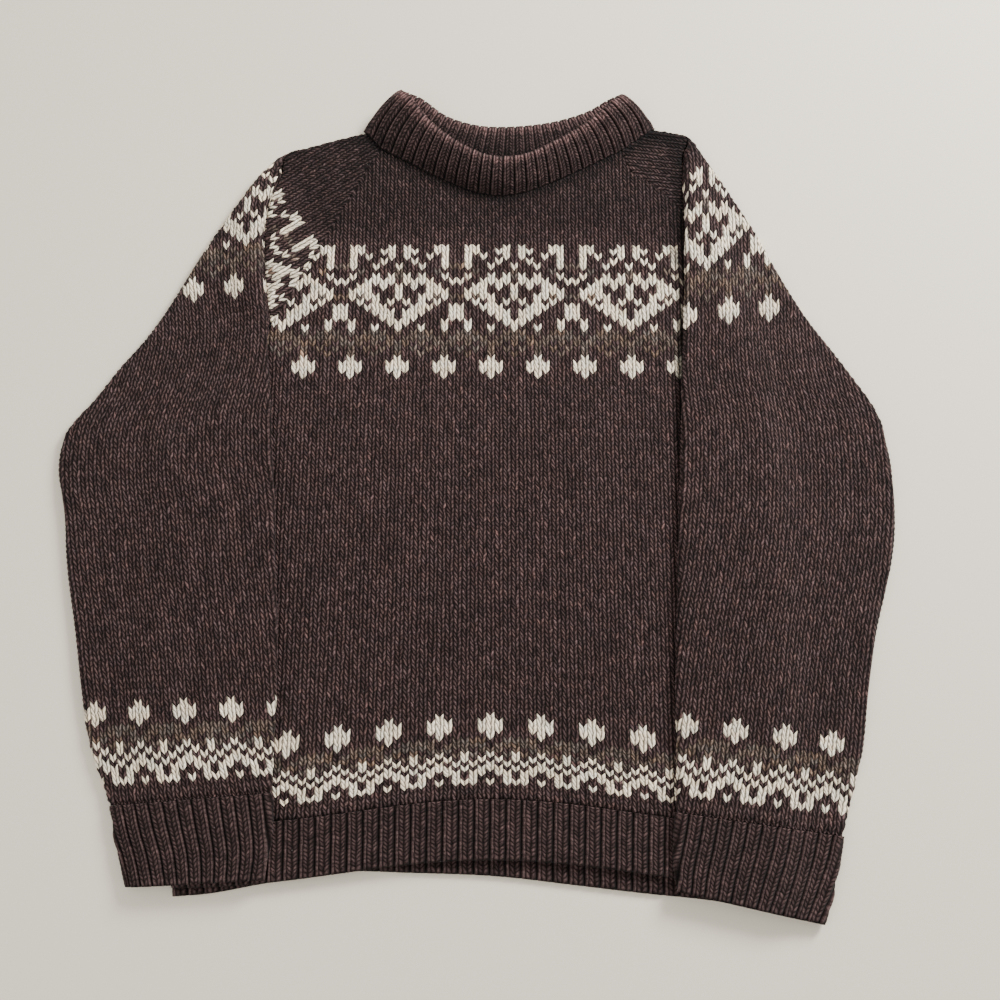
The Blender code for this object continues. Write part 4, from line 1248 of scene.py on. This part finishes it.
def neckband(material):
    """The ribbed neckband: rings from its seam to its edge, rounded over the front, ribbed outside."""
    seam_halves, edge_halves = neck_rings()
    share, part, raised, stitches = rib_shape(NECK_RIBS, NECK_ROWS)
    share, part, raised, stitches = share[:, :-1], part[:, :-1], raised[:, :-1], stitches[:, :-1]
    around = share[0]
    seam = ring(seam_halves, around)
    edge = ring(edge_halves, around)
    near_edge = smooth_step((part - (1.0 - NECK_SCALLOP_SHARE)) / NECK_SCALLOP_SHARE)
    scallop = NECK_SCALLOP * (raised / raised.max()) * near_edge
    rise = NECK_SEAM_GAP + (1.0 - NECK_SEAM_GAP) * part + scallop
    middle = seam[None] + rise[..., None] * (edge - seam)[None]
    front = np.maximum(np.sin(2.0 * np.pi * around), 0.0)
    wave = np.sin(np.pi * (rise - NECK_SEAM_GAP))
    middle[..., 2] += NECK_BULGE * front * wave
    ends = np.cos(2.0 * np.pi * around)
    outwards = NECK_SIDE_BULGE * SLANTING * wave * np.abs(ends) ** NECK_END_POWER
    middle[..., 0] -= np.sign(ends) * outwards
    middle[..., 1] += outwards
    normal = sheet_normals(middle, (4, len(around) // 4, (0.0, -0.5, 1.0)), closed=True)
    first = seam_normals(seam, edge)
    weight = smooth_step(part / NECK_FACING)[..., None]
    normal = normal * weight + first[None] * (1.0 - weight)
    normal = normal / np.linalg.norm(normal, axis=2, keepdims=True)
    fold = NECK_FOLD
    rounding = 1.0 - fold["thinner"] * smooth_step((part - (1.0 - fold["share"])) / fold["share"])
    ribbed = raised * (fold["rib"] + (1.0 - fold["rib"]) * rounding)
    outer = middle + normal * (CLOTH / 2 * rounding + ribbed - NECK_SINK)[..., None]
    inner = middle - normal * NECK_INNER
    outer[..., 2] = np.maximum(outer[..., 2], 0.0)
    return grid_wall("neckband_rib", "neck", outer, inner, stitches, material, closed=True)


# Wool as it catches the light, painted into its colour: a leg's painted light runs from painted shade in its
# hollow to its top.
LEFT_LEG = {"start": 0.02, "width": 0.54, "end": 0.1, "middle": 0.25}
RIGHT_LEG = {"start": 0.60, "width": 0.38, "end": 0.4}
RIB_FINISH = {
    # gap after the upright line, its light between and within rows, the legs' rise, least and most light
    "gap": 0.06, "line": 0.62, "line_row": 0.3, "rise": 0.6, "end": 0.2, "legs": 0.85,
}
NOISES = {
    # scale for each metre, detail and roughness
    "wander": (170.0, 1.0, 0.5),
    "fuzz": (700.0, 4.0, 0.8),
    "patch": (45.0, 3.0, 0.6),
    "fibre": (420.0, 2.0, 0.5),
}
WANDER_ACROSS = {"plain": 0.38, "rib": 0.12}    # stitches by which the legs wander across
WANDER_ALONG = 0.9                              # rows by which they wander up and down
PALE = {"from": 0.4, "gain": 3.0}               # red value above which a yarn counts as pale
# painted light on the tops of legs, and painted shade in the hollows of dark and pale yarn
PAINTED_TOP_LIGHT = 1.08
DARK_HOLLOW_SHADE = {"light": 0.095, "power": 1.6}
PALE_HOLLOW_SHADE = {"light": 0.13, "gain": 1.9}
GRAIN = {"dark": 4.2, "pale_less": 2.8, "least": 0.15}
PATCH = {"spread": 0.8, "least": 0.6}
LINT = {"from": 0.72, "gain": 5.0, "most": 0.4}
# Grey fibres and a painted sheen highlight, mixed in on the tops of dark legs
SHEEN_AND_FIBRES = {"power": 2.0, "gain": 2.1, "most": 0.24}
SHEEN_AND_FIBRES_COLOUR = (0.222, 0.192, 0.190, 1.0)       # fine grey fibres that stand off the yarn, and a painted sheen highlight on the legs' tops
FUZZ_HEIGHT = 0.5
BUMP = {"Strength": 0.8, "Distance": 0.0012}
ROUGHNESS = {"least": 0.8, "spread": 0.2}
FINISH = {"Specular IOR Level": 0.1, "Sheen Weight": 0.04, "Sheen Roughness": 0.6}


class Wire:
    """A value in a material's node tree. Arithmetic on it adds Math nodes."""

    def __init__(self, tree, socket=None):
        self.tree = tree
        self.socket = socket

    def node(self, kind, settings=None, sockets=None, output=0):
        """A new node: its settings are set first, then its sockets are given values or links."""
        made = self.tree.nodes.new(kind)
        for name, value in (settings or {}).items():
            setattr(made, name, value)
        for key, value in (sockets or {}).items():
            if isinstance(value, Wire):
                self.tree.links.new(value.socket, made.inputs[key])
            else:
                made.inputs[key].default_value = value
        return Wire(self.tree, made.outputs[output])

    def math(self, operation, *values):
        return self.node("ShaderNodeMath", {"operation": operation}, dict(enumerate(values)))

    def __add__(self, other):
        return self.math("ADD", self, other)

    def __sub__(self, other):
        return self.math("SUBTRACT", self, other)

    def __rsub__(self, other):
        return self.math("SUBTRACT", other, self)

    def __mul__(self, other):
        return self.math("MULTIPLY", self, other)

    def __pow__(self, other):
        return self.math("POWER", self, other)

    def part(self, index):
        """One of the three numbers of a place or a colour."""
        return self.node("ShaderNodeSeparateXYZ", None, {0: self}, index)

    def sine(self):
        return self.math("SINE", self)

    def fraction(self):
        return self.math("FRACT", self)

    def absolute(self):
        return self.math("ABSOLUTE", self)

    def above(self, level):
        return self.math("GREATER_THAN", self, level)

    def at_least(self, level):
        return self.math("MAXIMUM", self, level)

    def at_most(self, level):
        return self.math("MINIMUM", self, level)

    __radd__ = __add__
    __rmul__ = __mul__


def leg_depth(across, row):
    """How high a point of a plain stitch stands: 0 in the hollows, 1 on top of a leg.

    The left leg is broad and slants steeply, and gaps dark with the painted shade of the hollows part it
    from the next. The right one is narrow and almost runs on from row to row. Each is a half sine across
    times one along.
    """
    slanted = row - (across - LEFT_LEG["middle"]) * LEG_SLANT
    along_left = (slanted.fraction() * np.pi).sine()
    along_right = (row.fraction() * np.pi).sine()
    left = ((across - LEFT_LEG["start"]) * (np.pi / LEFT_LEG["width"])).sine().at_least(0.0)
    right = ((across - RIGHT_LEG["start"]) * (np.pi / RIGHT_LEG["width"])).sine().at_least(0.0)
    right = right * across.above(RIGHT_LEG["start"])
    left = left * (along_left * (1.0 - LEFT_LEG["end"]) + LEFT_LEG["end"])
    right = right * (along_right * (1.0 - RIGHT_LEG["end"]) + RIGHT_LEG["end"])
    return left.at_least(right)


def rib_depth(across, row):
    """How high a point of a rib stands: 0 in the furrow, 1 on its fine line and its herringbone.

    The line is a half sine across. The herringbone's legs are half sines across times one along,
    whose rows rise away from their middle.
    """
    finish = RIB_FINISH
    line = (across * (np.pi / (2 * RIB_LINE))).sine().at_least(0.0)
    line = line * (1.0 - across.above(2 * RIB_LINE - finish["gap"]))
    from_middle = (across - RIB_MIDDLE).absolute()
    risen = row + from_middle * finish["rise"]
    along = (risen.fraction() * np.pi).sine() * (1.0 - finish["end"]) + finish["end"]
    line = line * ((row.fraction() * np.pi).sine() * finish["line_row"] + finish["line"])
    leg = (from_middle * (np.pi / RIB_LEG)).sine().at_least(0.0) * (1.0 - from_middle.above(RIB_LEG))
    return line.at_least(leg * along * finish["legs"])


def cloud(position, name, output=0):
    """Smooth noise all over a piece, by its name in the table: its strength, or its colour."""
    scale, detail, roughness = NOISES[name]
    sockets = {"Vector": position, "Scale": scale, "Detail": detail, "Roughness": roughness}
    return position.node("ShaderNodeTexNoise", None, sockets, output)


def wool(name, rib):
    """Woollen knit: heathered yarn whose legs stand out in bump, with painted shade in the hollows between
    them and painted light on their tops.
    """
    material = bpy.data.materials.new(name)
    material.use_nodes = True
    shader = material.node_tree.nodes["Principled BSDF"]
    wire = Wire(material.node_tree)
    place = wire.node("ShaderNodeUVMap", {"uv_map": "stitches"})
    position = wire.node("ShaderNodeTexCoord", output=3)
    wander = cloud(position, "wander", 1)
    wale = place.part(0) + (wander.part(0) - 0.5) * WANDER_ACROSS["rib" if rib else "plain"]
    row = place.part(1) + (wander.part(1) - 0.5) * WANDER_ALONG
    depth = (rib_depth if rib else leg_depth)(wale.fraction(), row).at_least(0.0)
    fuzz = cloud(position, "fuzz")
    yarn = wire.node("ShaderNodeAttribute", {"attribute_name": "yarn"})
    red = yarn.part(0)
    pale = ((red - PALE["from"]) * PALE["gain"]).at_least(0.0).at_most(1.0)
    # painted shade in the hollows and painted light on the legs' tops
    dark_painted_light = depth ** DARK_HOLLOW_SHADE["power"] * PAINTED_TOP_LIGHT + DARK_HOLLOW_SHADE["light"]
    pale_painted_light = (depth * PALE_HOLLOW_SHADE["gain"]).at_most(1.0) * PAINTED_TOP_LIGHT + PALE_HOLLOW_SHADE["light"]
    light = dark_painted_light * (1.0 - pale) + pale_painted_light * pale
    grain = (fuzz - 0.5) * (GRAIN["dark"] - pale * GRAIN["pale_less"]) + 1.0
    patch = cloud(position, "patch") * PATCH["spread"] + PATCH["least"]
    light = light * grain.at_least(GRAIN["least"]) * patch
    colour = wire.node("ShaderNodeVectorMath", {"operation": "SCALE"}, {0: yarn, "Scale": light})
    fibre = cloud(position, "fibre")
    lint = ((fibre - LINT["from"]) * LINT["gain"]).at_least(0.0).at_most(LINT["most"])
    # grey fibres and a painted sheen highlight on the tops of dark legs
    sheen_and_fibres = depth ** SHEEN_AND_FIBRES["power"] * grain.at_least(0.0) * (1.0 - pale)
    sheen_and_fibres = sheen_and_fibres * (red * SHEEN_AND_FIBRES["gain"]).at_most(SHEEN_AND_FIBRES["most"])
    colour = wire.node("ShaderNodeMix", {"data_type": "RGBA"},
                       {"Factor": lint.at_least(sheen_and_fibres), "A": colour, "B": SHEEN_AND_FIBRES_COLOUR}, 2)
    normal = wire.node("ShaderNodeBump", None, {"Height": depth + fuzz * FUZZ_HEIGHT, **BUMP})
    roughness = fuzz * ROUGHNESS["spread"] + ROUGHNESS["least"]
    for socket, wired in (("Base Color", colour), ("Normal", normal), ("Roughness", roughness)):
        material.node_tree.links.new(wired.socket, shader.inputs[socket])
    for socket, value in FINISH.items():
        shader.inputs[socket].default_value = value
    return material


def cloth(piece, node):
    """Declares a knitted piece: attaches it to the root and hides the solid it stands for."""
    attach(piece, "root")
    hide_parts(node)


def make_pullover():
    """Makes and declares every piece of the pullover."""
    knit = wool("wool_knit", rib=False)
    ribbed = wool("wool_rib", rib=True)
    front = body_panel("front_knit", FRONT_LEVEL, front_neckline, front_seam, FRONT_SWELLS, 4, 2, 1, knit)
    back = body_panel("back_knit", BACK_LEVEL, back_neckline, back_seam, (), 2, 1, -1, knit)
    front_hem = hem_rib("front_hem_knit", FRONT_LEVEL, front_seam, front_lower_edge, HEM_CURL, ribbed)
    back_hem = hem_rib("back_hem_knit", BACK_LEVEL, back_seam, back_lower_edge, 0.0, ribbed)
    neck = neckband(ribbed)
    left = sleeve("left", knit)
    right = sleeve("right", knit)
    left_cap = cap("left", knit)
    right_cap = cap("right", knit)
    left_cuff = cuff("left", ribbed)
    right_cuff = cuff("right", ribbed)
    cloth(front, "front_panel")
    cloth(back, "back_panel")
    cloth(front_hem, "front_hem_rib")
    cloth(back_hem, "back_hem_rib")
    cloth(neck, "neckband")
    cloth(left, "left_sleeve")
    cloth(right, "right_sleeve")
    cloth(left_cap, "left_sleeve")
    cloth(right_cap, "right_sleeve")
    cloth(left_cuff, "left_cuff")
    cloth(right_cuff, "right_cuff")


# Floor, light and camera, in metres
FLOOR = {"reach": 3.0, "height": -0.0003, "colour": (0.99, 0.905, 0.745, 1.0), "roughness": 0.8}
SKY = {"Color": (1.0, 0.98, 0.95, 1.0), "Strength": 0.71}
LAMPS = (
    # name, place, size, watts
    ("key", (1.25, 1.15, 1.05), 0.7, 58.0),
    ("fill", (-1.2, -0.5, 1.6), 1.5, 8.0),
)
CAMERA = {"place": (0.023, -0.2588, 0.984), "aim": (0.023, -0.0226, 0.0), "lens": 39.6, "sensor": 36.0}


def pale_floor():
    """A plain pale floor just under the pullover."""
    mesh = bpy.data.meshes.new("floor")
    reach = FLOOR["reach"]
    sides = ((-reach, -reach), (reach, -reach), (reach, reach), (-reach, reach))
    mesh.from_pydata([(x, y, FLOOR["height"]) for x, y in sides], [], [(0, 1, 2, 3)])
    floor = bpy.data.objects.new("floor", mesh)
    bpy.context.scene.collection.objects.link(floor)
    material = bpy.data.materials.new("pale_floor")
    material.use_nodes = True
    shader = material.node_tree.nodes["Principled BSDF"]
    shader.inputs["Base Color"].default_value = FLOOR["colour"]
    shader.inputs["Roughness"].default_value = FLOOR["roughness"]
    mesh.materials.append(material)


def turned(thing, place, aim):
    """Puts a light or the camera at a place, turned to its aim, and into the scene."""
    thing.location = place
    thing.rotation_euler = (Vector(aim) - thing.location).to_track_quat("-Z", "Y").to_euler()
    bpy.context.scene.collection.objects.link(thing)


def area_light(name, place, size, power):
    """A square soft light at a place, turned to the middle of the pullover."""
    data = bpy.data.lights.new(name, "AREA")
    data.shape = "SQUARE"
    data.size = size
    data.energy = power
    turned(bpy.data.objects.new(name, data), place, (0.0, 0.0, 0.0))


def studio():
    """Soft studio light and the camera, which looks down at the pullover from beyond its hem."""
    world = bpy.data.worlds.new("studio")
    bpy.context.scene.world = world
    world.use_nodes = True
    for socket, value in SKY.items():
        world.node_tree.nodes["Background"].inputs[socket].default_value = value
    for name, place, size, power in LAMPS:
        area_light(name, place, size, power)
    data = bpy.data.cameras.new("camera")
    data.lens = CAMERA["lens"]
    data.sensor_width = CAMERA["sensor"]
    camera = bpy.data.objects.new("camera", data)
    turned(camera, CAMERA["place"], CAMERA["aim"])
    bpy.context.scene.camera = camera


pale_floor()
studio()
make_pullover()
